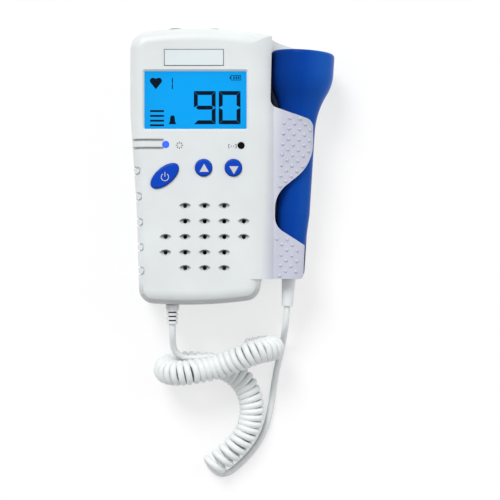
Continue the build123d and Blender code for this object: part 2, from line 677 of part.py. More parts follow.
def display_layer(bottom, top, name, open_by=0.0):
    """A plate behind the window, with its middle open but for a rim of open_by."""
    with BuildPart() as layer:
        with BuildSketch(Plane.XY.offset(bottom)):
            with Locations(WINDOW_CENTRE):
                Rectangle(*display_size)
                if open_by:
                    Rectangle(*[side - 2 * open_by for side in display_size], mode=Mode.SUBTRACT)
        extrude(amount=top - bottom)
    save(layer.part, name)


display_layer(backlight_top, panel_top, "display_panel")
display_layer(frame_top, backlight_top, "backlight")
display_layer(BOARD_TOP, frame_top, "display_frame", FRAME_RIM)

with BuildPart() as display_window:
    with BuildSketch(Plane.XY.offset(panel_top)):
        with Locations(WINDOW_CENTRE):
            Rectangle(*display_size)
    extrude(amount=WINDOW_FLANGE_THICK)
    with BuildSketch(Plane.XY.offset(panel_top)):
        with Locations(WINDOW_CENTRE):
            RectangleRounded(WINDOW_SIZE[0] - FIT, WINDOW_SIZE[1] - FIT, WINDOW_R)
    extrude(amount=DEPTH - WINDOW_SUNK - panel_top)
save(display_window.part, "display_window")

with BuildPart() as nameplate:
    with BuildSketch(Plane.XY.offset(NAMEPLATE_Z)):
        with Locations(NAMEPLATE_CENTRE):
            Rectangle(*NAMEPLATE_SIZE)
    extrude(amount=NAMEPLATE_THICK)
    chamfer(nameplate.faces().sort_by(Axis.Z)[-1].edges(), NAMEPLATE_PROUD)
save(nameplate.part, "nameplate")

# ---- Main board and what stands on it ---------------------------------------------------------
with BuildPart() as main_board:
    for x0, x1, y0, y1 in BOARD_BLOCKS:
        block(x0, x1, y0, y1, BOARD_Z, BOARD_TOP)
    pillars(POSTS, BOARD_SCREW_R + FIT, BOARD_Z - CUT, BOARD_TOP + CUT, Mode.SUBTRACT)
save(main_board.part, "main_board")

switch_top = BOARD_TOP + SWITCH_HEIGHT + SWITCH_CAP_HEIGHT
switch_places = [POWER_CENTRE, UP_CENTRE, DOWN_CENTRE]
with BuildPart() as button_switches:
    with Locations(*[(x, y, BOARD_TOP) for x, y in switch_places]):
        Box(SWITCH_SIDE, SWITCH_SIDE, SWITCH_HEIGHT, align=(Align.CENTER, Align.CENTER, Align.MIN))
    pillars(switch_places, SWITCH_CAP_R, BOARD_TOP, switch_top)
save(button_switches.part, "button_switches")

with BuildPart() as indicator_chips:
    with Locations((*POWER_LED, BOARD_TOP), (*CHARGE_LED, BOARD_TOP)):
        Box(*CHIP_SIZE, align=(Align.CENTER, Align.CENTER, Align.MIN))
save(indicator_chips.part, "indicator_chips")

for name, place in (("power_indicator", POWER_LED), ("charge_indicator", CHARGE_LED)):
    with BuildPart() as indicator:
        pillars([place], LED_R, BOARD_TOP + CHIP_SIZE[2], DEPTH + LED_PROUD)
        fillet(indicator.faces().sort_by(Axis.Z)[-1].edges(), LED_PROUD)
        pillars([place], LED_R + LED_FLANGE, FRONT_INSIDE - LED_FLANGE, FRONT_INSIDE)
    save(indicator.part, name)

skirt_top = FRONT_INSIDE - FIT
stem_foot = switch_top + BUTTON_TRAVEL + SWITCH_GAP
for name, (centre, *_) in button_plans.items():
    with BuildPart() as button:
        add(button_sketch(name, 0, skirt_top))
        extrude(amount=DEPTH + BUTTON_PROUD - skirt_top)
        fillet(button.faces().sort_by(Axis.Z)[-1].edges(), BUTTON_EDGE_R)
        add(button_sketch(name, BUTTON_SKIRT, skirt_top))
        extrude(amount=-SKIRT_THICK)
        pillars([centre], STEM_FOOT_R, stem_foot, skirt_top)
    save(button.part, f"{name}_button")

# ---- Speaker ----------------------------------------------------------------------------------
SPEAKER_PLANE = Plane((*SPEAKER_CENTRE, FRONT_INSIDE), x_dir=(1, 0, 0), z_dir=(0, -1, 0))
SPEAKER_AXIS = Axis((*SPEAKER_CENTRE, 0), (0, 0, 1))


def turned_piece(points, plane, axis, name):
    """A round piece turned from its half section: distance from the axis, then along it."""
    with BuildPart() as piece:
        with BuildSketch(plane):
            with BuildLine():
                Polyline(*points, close=True)
            make_face()
        revolve(axis=axis)
    save(piece.part, name)


rim = -GASKET_THICK
seat = rim - BASKET_DEPTH
turned_piece(
    [(RIM_INNER_R, 0), (SPEAKER_R, 0), (SPEAKER_R, rim), (RIM_INNER_R, rim)],
    SPEAKER_PLANE, SPEAKER_AXIS, "speaker_gasket",
)
turned_piece(
    [
        (RIM_INNER_R, rim), (SPEAKER_R, rim), (SPEAKER_R, rim - BASKET_SHEET),
        (BASKET_FLOOR_R, seat - BASKET_SHEET), (MAGNET_NECK_R + ROOT, seat - BASKET_SHEET),
        (MAGNET_NECK_R + ROOT, seat), (BASKET_FLOOR_R, seat), (RIM_INNER_R, rim - BASKET_SHEET),
    ],
    SPEAKER_PLANE, SPEAKER_AXIS, "speaker_frame",
)
turned_piece(
    [
        (CONE_R, rim - CONE_SHEET), (CONE_R, rim - 2 * CONE_SHEET), (CONE_R - 1.0, rim - 2 * CONE_SHEET),
        (MAGNET_NECK_R, seat + CONE_SHEET), (0, seat + DUST_CAP - CONE_SHEET), (0, seat + DUST_CAP),
        (MAGNET_NECK_R, seat + 2 * CONE_SHEET), (CONE_R - 1.0, rim - CONE_SHEET),
    ],
    SPEAKER_PLANE, SPEAKER_AXIS, "speaker_cone",
)
turned_piece(
    [
        (0, seat + CONE_SHEET / 2), (MAGNET_NECK_R, seat + CONE_SHEET / 2),
        (MAGNET_NECK_R, seat - BASKET_SHEET), (MAGNET_R, seat - BASKET_SHEET),
        (MAGNET_R, seat - BASKET_SHEET - MAGNET_THICK), (0, seat - BASKET_SHEET - MAGNET_THICK),
    ],
    SPEAKER_PLANE, SPEAKER_AXIS, "speaker_magnet",
)

# ---- Sockets ----------------------------------------------------------------------------------


def crown_y(x, left, crown, right):
    """Where an end wall, an arc through three points, is at x."""
    arc = ThreePointArc(left, crown, right)
    rise = math.sqrt(arc.radius**2 - (x - arc.arc_center.X) ** 2)
    return arc.arc_center.Y + math.copysign(rise, crown[1])


def jack(x, bore_r, side, name, pin_r=0.0):
    """A socket on the board behind the top end wall, with a nose in the wall and a blind bore."""
    wall_y = crown_y(x, TOP_LEFT, TOP_CROWN, TOP_RIGHT)
    body_top = wall_y - WALL - JACK_SETBACK
    body_bottom = body_top - JACK_LENGTH
    with BuildPart() as body:
        block(x - side / 2, x + side / 2, body_bottom, body_top, BOARD_TOP, JACK_Z + bore_r + NOSE_WALL)
        rod(x, body_top - ROOT, wall_y + NOSE_PROUD, JACK_Z, bore_r + NOSE_WALL)
        rod(x, body_bottom + JACK_FLOOR, wall_y + CUT, JACK_Z, bore_r, Mode.SUBTRACT)
        if pin_r:
            rod(x, body_bottom, wall_y - WALL, JACK_Z, pin_r)
    save(body.part, name)


jack(DC_JACK_X, DC_BORE_R, DC_JACK_SIDE, "dc_jack", DC_PIN_R)
jack(EAR_JACK_X, EAR_BORE_R, EAR_JACK_SIDE, "earphone_jack")

plug_wall_y = crown_y(PLUG_X, BOTTOM_LEFT, BOTTOM_CROWN, BOTTOM_RIGHT)
socket_front = plug_wall_y + WALL + JACK_SETBACK
with BuildPart() as probe_socket:
    block(PLUG_X - SOCKET_SIDE / 2, PLUG_X + SOCKET_SIDE / 2, socket_front, socket_front + SOCKET_LENGTH,
          BAY_ROOF_TOP + SOCKET_PAD, PLUG_Z + SOCKET_SIDE / 2)
    rod(PLUG_X, plug_wall_y, socket_front + ROOT, PLUG_Z, PLUG_R)
    rod(PLUG_X, plug_wall_y - CUT, plug_wall_y + PLUG_PIN_LENGTH, PLUG_Z, PLUG_PIN_R + STACK_GAP,
        Mode.SUBTRACT)
save(probe_socket.part, "probe_socket")

# ---- Plug -------------------------------------------------------------------------------------
PLUG_PLANE = Plane((PLUG_X, plug_wall_y, PLUG_Z), x_dir=(1, 0, 0), z_dir=(0, 0, 1))
PLUG_AXIS = Axis((PLUG_X, plug_wall_y, PLUG_Z), (0, 1, 0))
plug_face = -STACK_GAP
pin_tip = PLUG_PIN_LENGTH - PIN_TIP_GAP
turned_piece(
    [
        (0, plug_face), (PLUG_R - PLUG_EDGE, plug_face), (PLUG_R, plug_face - PLUG_EDGE),
        (PLUG_R, -PLUG_LENGTH), (0, -PLUG_LENGTH),
    ],
    PLUG_PLANE, PLUG_AXIS, "plug_body",
)
turned_piece(
    [
        (0, plug_face), (PLUG_PIN_R, plug_face), (PLUG_PIN_R, pin_tip - 2 * PIN_GROOVE - PIN_GROOVE),
        (PLUG_PIN_R - PIN_GROOVE / 2, pin_tip - 2 * PIN_GROOVE), (PLUG_PIN_R, pin_tip - PIN_GROOVE),
        (PLUG_PIN_R / 2, pin_tip), (0, pin_tip),
    ],
    PLUG_PLANE, PLUG_AXIS, "plug_pin",
)
ribs = []
rib_pitch = SLEEVE_LENGTH / SLEEVE_RIBS
for i in range(SLEEVE_RIBS):
    start = -PLUG_LENGTH - i * rib_pitch
    radius = SLEEVE_R - RIB_TAPER * i
    ribs += [(radius, start), (radius, start - RIB_SHARE * rib_pitch)]
    if i < SLEEVE_RIBS - 1:
        ribs += [(radius - RIB_DEPTH, start - RIB_SHARE * rib_pitch), (radius - RIB_DEPTH, start - rib_pitch)]
sleeve_end = ribs[-1][1]
turned_piece([(0, -PLUG_LENGTH), *ribs, (0, sleeve_end)], PLUG_PLANE, PLUG_AXIS, "plug_strain_relief")

# ---- Probe ------------------------------------------------------------------------------------
probe_solid = probe_body(0)
probe_hollow = probe_body(-PROBE_WALL, top=CUT)
for name, direction in (("probe_front_half", 1), ("probe_rear_half", -1)):
    with BuildPart() as half_space:
        with BuildSketch(PROBE_PLANE):
            with Locations((0, -CAP_LENGTH)):
                Rectangle(FAR, 2 * FAR, align=(Align.CENTER, Align.MAX))
        extrude(amount=direction * FAR)
    with BuildPart() as half:
        add(probe_solid)
        add(probe_hollow, mode=Mode.SUBTRACT)
        add(half_space.part, mode=Mode.INTERSECT)
        with BuildSketch(FACE_PLANE.offset(-TAIL_END - 2 * PROBE_WALL)):
            Circle(RELIEF_NECK_R + STACK_GAP / 2)
        extrude(amount=4 * PROBE_WALL, mode=Mode.SUBTRACT)
    save(half.part, name)

ledge_r = LENS_R - LENS_LEDGE
ledge_foot = -LENS_THICK - LEDGE_THICK
with BuildPart() as probe_head_cap:
    with BuildSketch(PROBE_PLANE):
        with BuildLine():
            FilletPolyline((LENS_R, 0), (HEAD_R, 0), (HEAD_R, -CAP_LENGTH), radius=HEAD_EDGE_R)
            Polyline(
                (HEAD_R, -CAP_LENGTH), (HEAD_R - PROBE_WALL, -CAP_LENGTH), (HEAD_R - PROBE_WALL, ledge_foot),
                (ledge_r, ledge_foot), (ledge_r, -LENS_THICK), (LENS_R, -LENS_THICK), (LENS_R, 0),
            )
        make_face()
    revolve(axis=PROBE_AXIS)
save(probe_head_cap.part, "probe_head_cap")

turned_piece(
    [(0, LENS_CROWN), (LENS_R - LENS_LEDGE, FIT), (LENS_R, -FIT), (LENS_R, -LENS_THICK), (0, -LENS_THICK)],
    PROBE_PLANE, PROBE_AXIS, "probe_face",
)
crystals_top = LENS_THICK + STACK_GAP
with BuildPart() as probe_crystals:
    with BuildSketch(FACE_PLANE.offset(crystals_top)):
        Circle(CRYSTAL_R)
        Rectangle(CRYSTAL_SPLIT, 2 * HEAD_R, mode=Mode.SUBTRACT)
    extrude(amount=CRYSTAL_THICK)
save(probe_crystals.part, "probe_crystals")

with BuildPart() as probe_backing:
    with BuildSketch(FACE_PLANE.offset(crystals_top + CRYSTAL_THICK + STACK_GAP)):
        Circle(BACKING_R)
    extrude(amount=BACKING_THICK)
save(probe_backing.part, "probe_backing")

with BuildPart() as probe_board:
    with BuildSketch(PROBE_PLANE.offset(-PROBE_BOARD[2] / 2)):
        with Locations((0, PROBE_BOARD_TOP)):
            Rectangle(*PROBE_BOARD[:2], align=(Align.CENTER, Align.MAX))
    extrude(amount=PROBE_BOARD[2])
save(probe_board.part, "probe_board")

tail_inside = TAIL_END + PROBE_WALL
relief_end = TAIL_END - RELIEF_LENGTH
turned_piece(
    [
        (0, tail_inside + RELIEF_FLANGE), (RELIEF_FLANGE_R, tail_inside + RELIEF_FLANGE),
        (RELIEF_FLANGE_R, tail_inside), (RELIEF_NECK_R, tail_inside), (RELIEF_NECK_R, TAIL_END),
        (RELIEF_R, TAIL_END), (RELIEF_TIP_R, relief_end), (0, relief_end),
    ],
    PROBE_PLANE, PROBE_AXIS, "probe_strain_relief",
)

# ---- Cord -------------------------------------------------------------------------------------
# The curly stretch lies in a low stack: it starts on the surface under its right end, turns up, runs
# back along the top, and turns down to run under itself and out to the front. The plug's lead reaches
# its start along the groove behind the two rows. Its solid is one fat tube of the coil's outer diameter.
COIL_Z = COIL_R + STACK_GAP
LEAD_Z = CORD_R + STACK_GAP / 2
COIL_ROUTE = [
    (6.5, -90.0, COIL_Z), (14.6, -88.6, COIL_Z), (19.8, -88.1, 12.35), (18.6, -87.9, 20.5),
    (11.0, -89.3, 24.2), (-3.9, -95.9, 19.3), (-13.4, -98.4, 19.1), (-24.2, -99.9, 23.4),
    (-31.8, -99.6, 19.8), (-33.3, -98.0, 11.9), (-27.8, -96.2, COIL_Z), (-13.4, -96.6, COIL_Z),
    (-4.2, -98.0, COIL_Z), (4.6, -104.0, COIL_Z), (8.8, -112.2, COIL_Z), (9.9, -119.8, COIL_Z),
    (8.6, -127.2, COIL_Z), (4.9, -133.9, COIL_Z), (-0.2, -139.6, COIL_Z), (-10.2, -147.3, COIL_Z),
]
lead_x, lead_top = PLUG_X, plug_wall_y + sleeve_end
PLUG_LEAD_ROUTE = [
    (lead_x, lead_top, PLUG_Z), (lead_x, lead_top - 3.6, PLUG_Z), (lead_x, lead_top - 7.7, PLUG_Z - 1.9),
    (lead_x, -87.6, 17.6), (-27.1, -91.3, 15.5), (-23.0, -93.3, 13.9), (-13.4, -92.9, 13.5),
    (-3.9, -91.9, 12.0), (1.0, -91.2, 11.1), (6.4, -90.6, 11.0),
]
PROBE_LEAD_ROUTE = [
    (-5.9, -152.6, LEAD_Z), (-1.6, -151.6, LEAD_Z), (2.4, -148.2, LEAD_Z), (6.8, -144.0, LEAD_Z),
    (11.0, -139.2, LEAD_Z), (14.6, -133.4, LEAD_Z), (17.3, -126.6, LEAD_Z), (19.4, -117.0, LEAD_Z),
    (20.6, -107.5, LEAD_Z), (22.2, -98.5, LEAD_Z), (24.3, -90.4, LEAD_Z), (25.1, -85.2, 4.65),
    (25.8, -79.0, PROBE_Z - 3.0),
    tuple((PROBE_PLANE * Location((0, relief_end - 6.0, 0))).position),
    tuple((PROBE_PLANE * Location((0, relief_end, 0))).position),
]


def corner_radii(points):
    """The radius of the arc at each inner point: 0.45 of the shorter run, by the turn there."""
    radii = []
    for before, here, after in zip(points, points[1:], points[2:]):
        run_in = Vector(*here) - Vector(*before)
        run_out = Vector(*after) - Vector(*here)
        turn = math.radians(run_in.get_angle(run_out))
        radii.append(0.45 * min(run_in.length, run_out.length) / math.tan(turn / 2))
    return radii


def cord_tube(points, radius, name):
    """A round tube along straight runs joined by tangent arcs."""
    radii = corner_radii(points)
    with BuildPart() as tube:
        with BuildLine() as route:
            FilletPolyline(*points, radius=radii)
        start = route.wires()[0]
        with BuildSketch(Plane(start @ 0, z_dir=start % 0)):
            Circle(radius)
        sweep(path=start)
    share = tube.part.volume / (math.pi * radius**2 * start.length)
    print(f"{name}: length {start.length:.1f}, volume share {share:.4f}, radii", [round(r, 1) for r in radii])
    save(tube.part, name)


cord_tube(COIL_ROUTE, COIL_R, "cord_coil")
cord_tube(PLUG_LEAD_ROUTE, CORD_R, "plug_lead")
cord_tube(PROBE_LEAD_ROUTE, CORD_R, "probe_lead")
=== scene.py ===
"""Looks of the fetal doppler: its finishes, lit display, symbols, grip dots and curly cord."""

import json
import math

import bmesh
import bpy
from mathutils import Matrix, Vector
from mathutils.bvhtree import BVHTree


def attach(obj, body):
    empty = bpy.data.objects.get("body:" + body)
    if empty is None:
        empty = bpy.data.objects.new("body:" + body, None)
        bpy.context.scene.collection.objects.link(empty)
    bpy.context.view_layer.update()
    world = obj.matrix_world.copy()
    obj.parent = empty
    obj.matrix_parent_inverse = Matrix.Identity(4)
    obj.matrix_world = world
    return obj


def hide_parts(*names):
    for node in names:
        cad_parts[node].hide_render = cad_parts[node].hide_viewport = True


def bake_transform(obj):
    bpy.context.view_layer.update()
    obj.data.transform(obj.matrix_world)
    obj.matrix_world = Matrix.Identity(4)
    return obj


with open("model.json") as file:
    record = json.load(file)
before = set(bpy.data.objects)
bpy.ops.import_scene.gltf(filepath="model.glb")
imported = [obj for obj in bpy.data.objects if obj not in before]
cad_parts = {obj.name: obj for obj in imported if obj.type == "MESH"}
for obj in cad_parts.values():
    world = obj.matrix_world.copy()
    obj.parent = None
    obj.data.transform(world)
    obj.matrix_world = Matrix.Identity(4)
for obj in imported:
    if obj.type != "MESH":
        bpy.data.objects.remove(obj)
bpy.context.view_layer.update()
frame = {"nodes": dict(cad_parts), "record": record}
NODES = frame["nodes"]
MM = 0.001  # lengths in this script are in mm, unless a line says otherwise

# ---- Node trees -------------------------------------------------------------------------------


def opaque(colour):
    """A colour with its alpha."""
    return (*colour, 1.0)


def tinted(colour, share):
    """A colour made lighter or darker by a share."""
    return tuple(min(1.0, value * (1.0 + share)) for value in colour)


class NodeTree:
    """The nodes of a material or of the world, emptied at the start."""

    def __init__(self, owner):
        owner.use_nodes = True
        self.tree = owner.node_tree
        self.tree.nodes.clear()

    def feed(self, socket, value):
        """Links a socket to another one or to a level, or sets its value."""
        value = getattr(value, "socket", value)
        if isinstance(value, bpy.types.NodeSocket):
            self.tree.links.new(value, socket)
        else:
            socket.default_value = value

    def node(self, kind, settings, inputs):
        """Adds a node: its settings first, a ramp's stops among them, then its values or links."""
        node = self.tree.nodes.new(kind)
        for key, value in settings.items():
            if key == "stops":
                ramp = node.color_ramp
                while len(ramp.elements) < len(value):
                    ramp.elements.new(1.0)
                for element, (position, colour) in zip(ramp.elements, value):
                    element.position, element.color = position, opaque(colour)
            else:
                setattr(node, key, value)
        for key, value in inputs.items():
            self.feed(node.inputs[key], value)
        return node


class Level:
    """One number that varies over a surface; arithmetic on it adds the nodes."""

    def __init__(self, finish, socket):
        self.finish, self.socket = finish, socket

    def reckon(self, operation, *values):
        """A Math node's result for these values."""
        inputs = dict(enumerate(values))
        node = self.finish.node("ShaderNodeMath", {"operation": operation}, inputs)
        return Level(self.finish, node.outputs[0])

    def __add__(self, other):
        return self.reckon("ADD", self, other)

    __radd__ = __add__

    def __sub__(self, other):
        return self.reckon("SUBTRACT", self, other)

    def __rsub__(self, other):
        return self.reckon("SUBTRACT", other, self)

    def __mul__(self, other):
        return self.reckon("MULTIPLY", self, other)

    __rmul__ = __mul__

    def wrapped(self, low, high):
        """The level, which starts again from low each time it comes to high."""
        return self.reckon("WRAP", self, high, low)

    def ramp(self, low, high):
        """0 below low and 1 above high."""
        inputs = {0: self, 1: low, 2: high, 3: 0.0, 4: 1.0}
        node = self.finish.node("ShaderNodeMapRange", {"clamp": True}, inputs)
        return Level(self.finish, node.outputs[0])

    def fall(self, low, high):
        """1 below low and 0 above high."""
        return 1.0 - self.ramp(low, high)


class Finish(NodeTree):
    """A material with one Principled shader."""

    def __init__(self, name, colour, roughness, metallic=0.0):
        self.material = bpy.data.materials.new(name)
        super().__init__(self.material)
        plain = {"Base Color": opaque(colour), "Roughness": roughness, "Metallic": metallic}
        self.shader = self.node("ShaderNodeBsdfPrincipled", {}, plain)
        self.output = self.node(
            "ShaderNodeOutputMaterial", {}, {"Surface": self.shader.outputs[0]}
        )
        self.place = self.node("ShaderNodeTexCoord", {}, {}).outputs["Object"]

    def set(self, **values):
        """Sets or links the shader's own sockets; words are joined by underscores."""
        for key, value in values.items():
            self.feed(self.shader.inputs[key.replace("_", " ")], value)

    def noise(self, per_mm, detail=2.0, stretch=(1.0, 1.0, 1.0)):
        """Noise from 0 to 1 with so many grains to the millimetre."""
        mapped = self.node("ShaderNodeMapping", {}, {"Vector": self.place, "Scale": stretch})
        inputs = {"Vector": mapped.outputs[0], "Scale": per_mm / MM, "Detail": detail}
        return Level(self, self.node("ShaderNodeTexNoise", {}, inputs).outputs[0])

    def axes(self, names="XYZ"):
        """The place along each of these axes, in mm."""
        parts = self.node("ShaderNodeSeparateXYZ", {}, {0: self.place}).outputs
        return [Level(self, parts[name]) * (1.0 / MM) for name in names]

    def colours(self, level, *stops):
        """A colour for each level, between stops of (level, colour)."""
        return self.node("ShaderNodeValToRGB", {"stops": stops}, {0: level}).outputs[0]

    def mixed(self, level, first, second):
        """The first colour where the level is 0, and the second where it is 1."""
        # Sockets 6 and 7 of a Mix node are its two colours, and output 2 is their mix.
        inputs = {0: level, 6: first, 7: second}
        return self.node("ShaderNodeMix", {"data_type": "RGBA"}, inputs).outputs[2]

    def bump(self, level, depth):
        """Raises the surface by the level, to this depth."""
        bumped = self.node("ShaderNodeBump", {}, {"Height": level, "Distance": depth * MM})
        self.set(Normal=bumped.outputs[0])


# ---- Camera and light -------------------------------------------------------------------------
IMAGE_PX = 500
SENSOR = 36.0
VIEW_TARGET = (8.57, -39.67, 34.0)  # at the middle of the view
VIEW_DISTANCE = 700.0
VIEW_PX = 0.48  # that a pixel covers at the target
SIGHT = 20.0  # how far the camera sees, in metres

SUNS = (  # towards the light, its strength, and its angle
    ((-0.45, 0.90, 1.0), 1.95, 26.0),
    ((1.0, 0.5, 0.55), 0.60, 60.0),
)
WORLD_STRENGTH = 0.52
WHITE = (1.0, 1.0, 1.0)


def set_camera():
    """A long lens straight over the device."""
    data = bpy.data.cameras.new("camera")
    data.sensor_width = SENSOR
    data.lens = SENSOR * VIEW_DISTANCE / (VIEW_PX * IMAGE_PX)
    data.clip_end = SIGHT
    camera = bpy.data.objects.new("camera", data)
    bpy.context.scene.collection.objects.link(camera)
    camera.location = (Vector(VIEW_TARGET) + Vector((0.0, 0.0, VIEW_DISTANCE))) * MM
    bpy.context.scene.camera = camera


def set_lights():
    """A soft sun from the top end, a weak one from the right, and an even white room."""
    for direction, strength, angle in SUNS:
        light = bpy.data.lights.new("sun", "SUN")
        light.energy = strength
        light.angle = math.radians(angle)
        sun = bpy.data.objects.new("sun", light)
        sun.matrix_world = Vector(direction).to_track_quat("Z", "Y").to_matrix().to_4x4()
        bpy.context.scene.collection.objects.link(sun)
    world = bpy.data.worlds.new("room")
    bpy.context.scene.world = world
    room = NodeTree(world)
    lit, seen = (
        room.node("ShaderNodeBackground", {}, {"Color": opaque(WHITE), "Strength": strength})
        for strength in (WORLD_STRENGTH, 1.0)
    )
    path = room.node("ShaderNodeLightPath", {}, {})
    parts = {0: path.outputs["Is Camera Ray"], 1: lit.outputs[0], 2: seen.outputs[0]}
    mix = room.node("ShaderNodeMixShader", {}, parts)
    room.node("ShaderNodeOutputWorld", {}, {"Surface": mix.outputs[0]})


# ---- Kinds of finish --------------------------------------------------------------------------
SLOW_NOISE = 0.05  # grains to the millimetre
MOTTLE_LEVELS = (0.3, 0.7)  # of the slow noise, where a colour is darkest and lightest


def toned(finish, level, colour, mottle):
    """The colour, darker where the level is low and lighter where it is high, by the mottle."""
    dark, light = MOTTLE_LEVELS
    return finish.colours(level, (dark, tinted(colour, -mottle)), (light, tinted(colour, mottle)))


def grained(name, colour, roughness=0.38, grain=6.0, depth=0.012, gloss=0.5):
    """Plain moulded plastic with a fine spark-eroded grain, and its slow noise for other uses."""
    finish = Finish(name, colour, roughness)
    slow, fine = finish.noise(SLOW_NOISE), finish.noise(grain, detail=3.0)
    finish.set(
        Roughness=slow * 0.08 + fine * 0.06 + (roughness - 0.07), Specular_IOR_Level=gloss
    )
    finish.bump(fine, depth)
    return finish, slow


def moulded(name, colour, roughness=0.38, mottle=0.03, **surface):
    """Moulded plastic with slow changes in tone."""
    finish, slow = grained(name, colour, roughness, **surface)
    finish.set(Base_Color=toned(finish, slow, colour, mottle))
    return finish


def metal(name, colour, roughness=0.3, brushed=(1.0, 1.0, 12.0)):
    """Turned or pressed steel with a faint brushed grain."""
    finish = Finish(name, colour, roughness, metallic=1.0)
    grain = finish.noise(1.5, detail=4.0, stretch=brushed)
    finish.set(
        Base_Color=finish.colours(grain, (0.2, tinted(colour, -0.12)), (0.8, tinted(colour, 0.08))),
        Roughness=grain * 0.15 + (roughness - 0.07),
    )
    finish.bump(grain, 0.01)
    return finish


def square_off(first, second, centre, reach=(1.0, 1.0)):
    """The square of how far a place is from the centre, counted in reaches."""
    off_first = (first - centre[0]) * (1.0 / reach[0])
    off_second = (second - centre[1]) * (1.0 / reach[1])
    return off_first * off_first + off_second * off_second


# ---- Colours, and places that the finishes tell apart -----------------------------------------
SHELL_WHITE = (0.74, 0.775, 0.785)
GRIP_LILAC = (0.56, 0.575, 0.68)
# Painted shade for the engraved lines.
LINE_PAINTED_SHADE = (0.50, 0.515, 0.52)
# Painted shade for the front's bottom rim.
RIM_PAINTED_SHADE = (0.56, 0.58, 0.585)
# Painted shade for the speaker's scoops.
SCOOP_PAINTED_SHADE = (0.16, 0.165, 0.17)
# Painted shade with a blue cast, for the rear shell's rim beside the probe's head.
SHADE_BLUE = (0.004, 0.03, 0.12)
PRINT_GREY = (0.06, 0.065, 0.08)
SYMBOL_PALE = (0.60, 0.60, 0.62)
BUTTON_BLUE = (0.002, 0.058, 0.50)
PROBE_BLUE = (0.002, 0.052, 0.34)
# Painted light for the probe's side away from the holster.
PROBE_PAINTED_LIGHT = (0.012, 0.115, 0.52)
CORD_WHITE = (0.81, 0.84, 0.84)
PLUG_WHITE = (0.78, 0.80, 0.81)
# Painted shade for the gaps between the plug sleeve's ribs.
RIB_GAP_PAINTED_SHADE = (0.01, 0.01, 0.01)
LCD_BLUE = (0.002, 0.41, 1.0)
LCD_DARK = (0.0, 0.02, 0.06)
LCD_INK = (0.001, 0.006, 0.02)
WINDOW_TINT = (0.02, 0.08, 0.15)
LENS_BLUE = (0.02, 0.08, 0.6)
LENS_MIDDLE = (0.03, 0.16, 1.0)
LENS_EDGE = (0.01, 0.04, 0.8)
BOARD_GREEN = (0.01, 0.12, 0.04)
BOARD_PALE = (0.012, 0.15, 0.05)
TRACK_GREEN = (0.02, 0.22, 0.08)
SHELL_MOTTLE, GRIP_MOTTLE = 0.03, 0.04

# Where a place is given by two numbers, its level goes from 0 to 1, or from 1 to 0, between them.
DECK_LOW = 17.5  # the deck beside the probe, which holds the grip, is above this
DECK_SLANT = 0.05  # its left bound leans by this much
DECK_X, DECK_Z = (16.0, 23.5), (DECK_LOW, 19.5)

LINES_Y = (13.25, 9.35)  # the two engraved lines
LINES_X, LINES_Z = (-32.75, -32.65), (24.0, 28.0)
LINE_CORE, LINE_EDGE = 0.3, 0.95  # from its middle, where a line's painted shade begins and stops to fade

GRILLE_CENTRE, GRILLE_R, GRILLE_FADE = (-13.2, -33.4), 23.5, 0.5
GRILLE_ROW = 7.48  # from row to row
ROW_SHADE = (-1.0, 0.6)  # across a row's middle, from the lit side of a scoop to the side in painted shade
SCOOP_PALE = 0.3  # how much of the painted shade the lit side of a scoop has
SCOOP_FOOT_Z, SCOOP_LIP_Z = (32.0, 32.4), (33.2, 33.95)

# Bounds of the painted shade on the front's bottom rim.
RIM_X, RIM_Y = (12.5, 14.5), (-59.0, -55.0)
RIM_FOOT_Z, RIM_TOP_Z = (22.0, 28.0), (32.4, 32.8)

SHADE_LEFT_X, SHADE_RIGHT_X = (17.4, 17.6), (23.6, 24.0)
SHADE_LOW_Y, SHADE_HIGH_Y = (18.0, 20.0), (50.4, 50.8)
SHADE_Z = (14.0, 15.0)

DISPLAY_CENTRE, DISPLAY_REACH = (-17.75, 32.9), (30.0, 20.0)
DISPLAY_FADE = (0.2, 1.6)
LIGHT_CENTRE, LIGHT_R = (-31.9, 11.0), 1.65
SLEEVE_AXIS = (-29.2, 23.6)  # the plug's, as x and z
# Radii between which the painted shade in the rib gaps gives way to white.
RIB_FOOT_R, RIB_TOP_R = 2.1, 2.35
PROBE_TOP, PROBE_TILT = (34.6, 56.9), math.radians(3.6)  # its axis at the top, and its lean
# Half the width across the probe's axis over which its painted shade turns to painted light.
PROBE_HEAD_R = 14.0


def deck_level(x, y, z):
    """The deck beside the probe, to the right of a slanting bound."""
    return (x - y * DECK_SLANT).ramp(*DECK_X) * z.ramp(*DECK_Z)


def lines_shade_level(x, y, z):
    """Painted shade in and beside the engraved lines, which run from the left side to the power
    light.
    """
    lines = 0.0
    for middle in LINES_Y:
        off = y - middle
        lines = lines + (off * off).fall(LINE_CORE ** 2, LINE_EDGE ** 2)
    return lines * x.fall(*LINES_X) * z.ramp(*LINES_Z)


def scoop_shade_level(x, y, z):
    """Painted shade in the speaker's scoops below the front, darker towards the top end in each
    row, the side the light leaves in shade.
    """
    grille = square_off(x, y, GRILLE_CENTRE).fall(GRILLE_R ** 2, (GRILLE_R + GRILLE_FADE) ** 2)
    row = (y - GRILLE_CENTRE[1]).wrapped(-GRILLE_ROW / 2.0, GRILLE_ROW / 2.0)
    dark = row.ramp(*ROW_SHADE) * (1.0 - SCOOP_PALE) + SCOOP_PALE
    return grille * z.ramp(*SCOOP_FOOT_Z) * z.fall(*SCOOP_LIP_Z) * dark


def rim_shade_level(x, y, z):
    """Painted shade on the rounded rim of the front at the bottom end, as far as the deck."""
    return z.ramp(*RIM_FOOT_Z) * z.fall(*RIM_TOP_Z) * y.fall(*RIM_Y) * x.fall(*RIM_X)


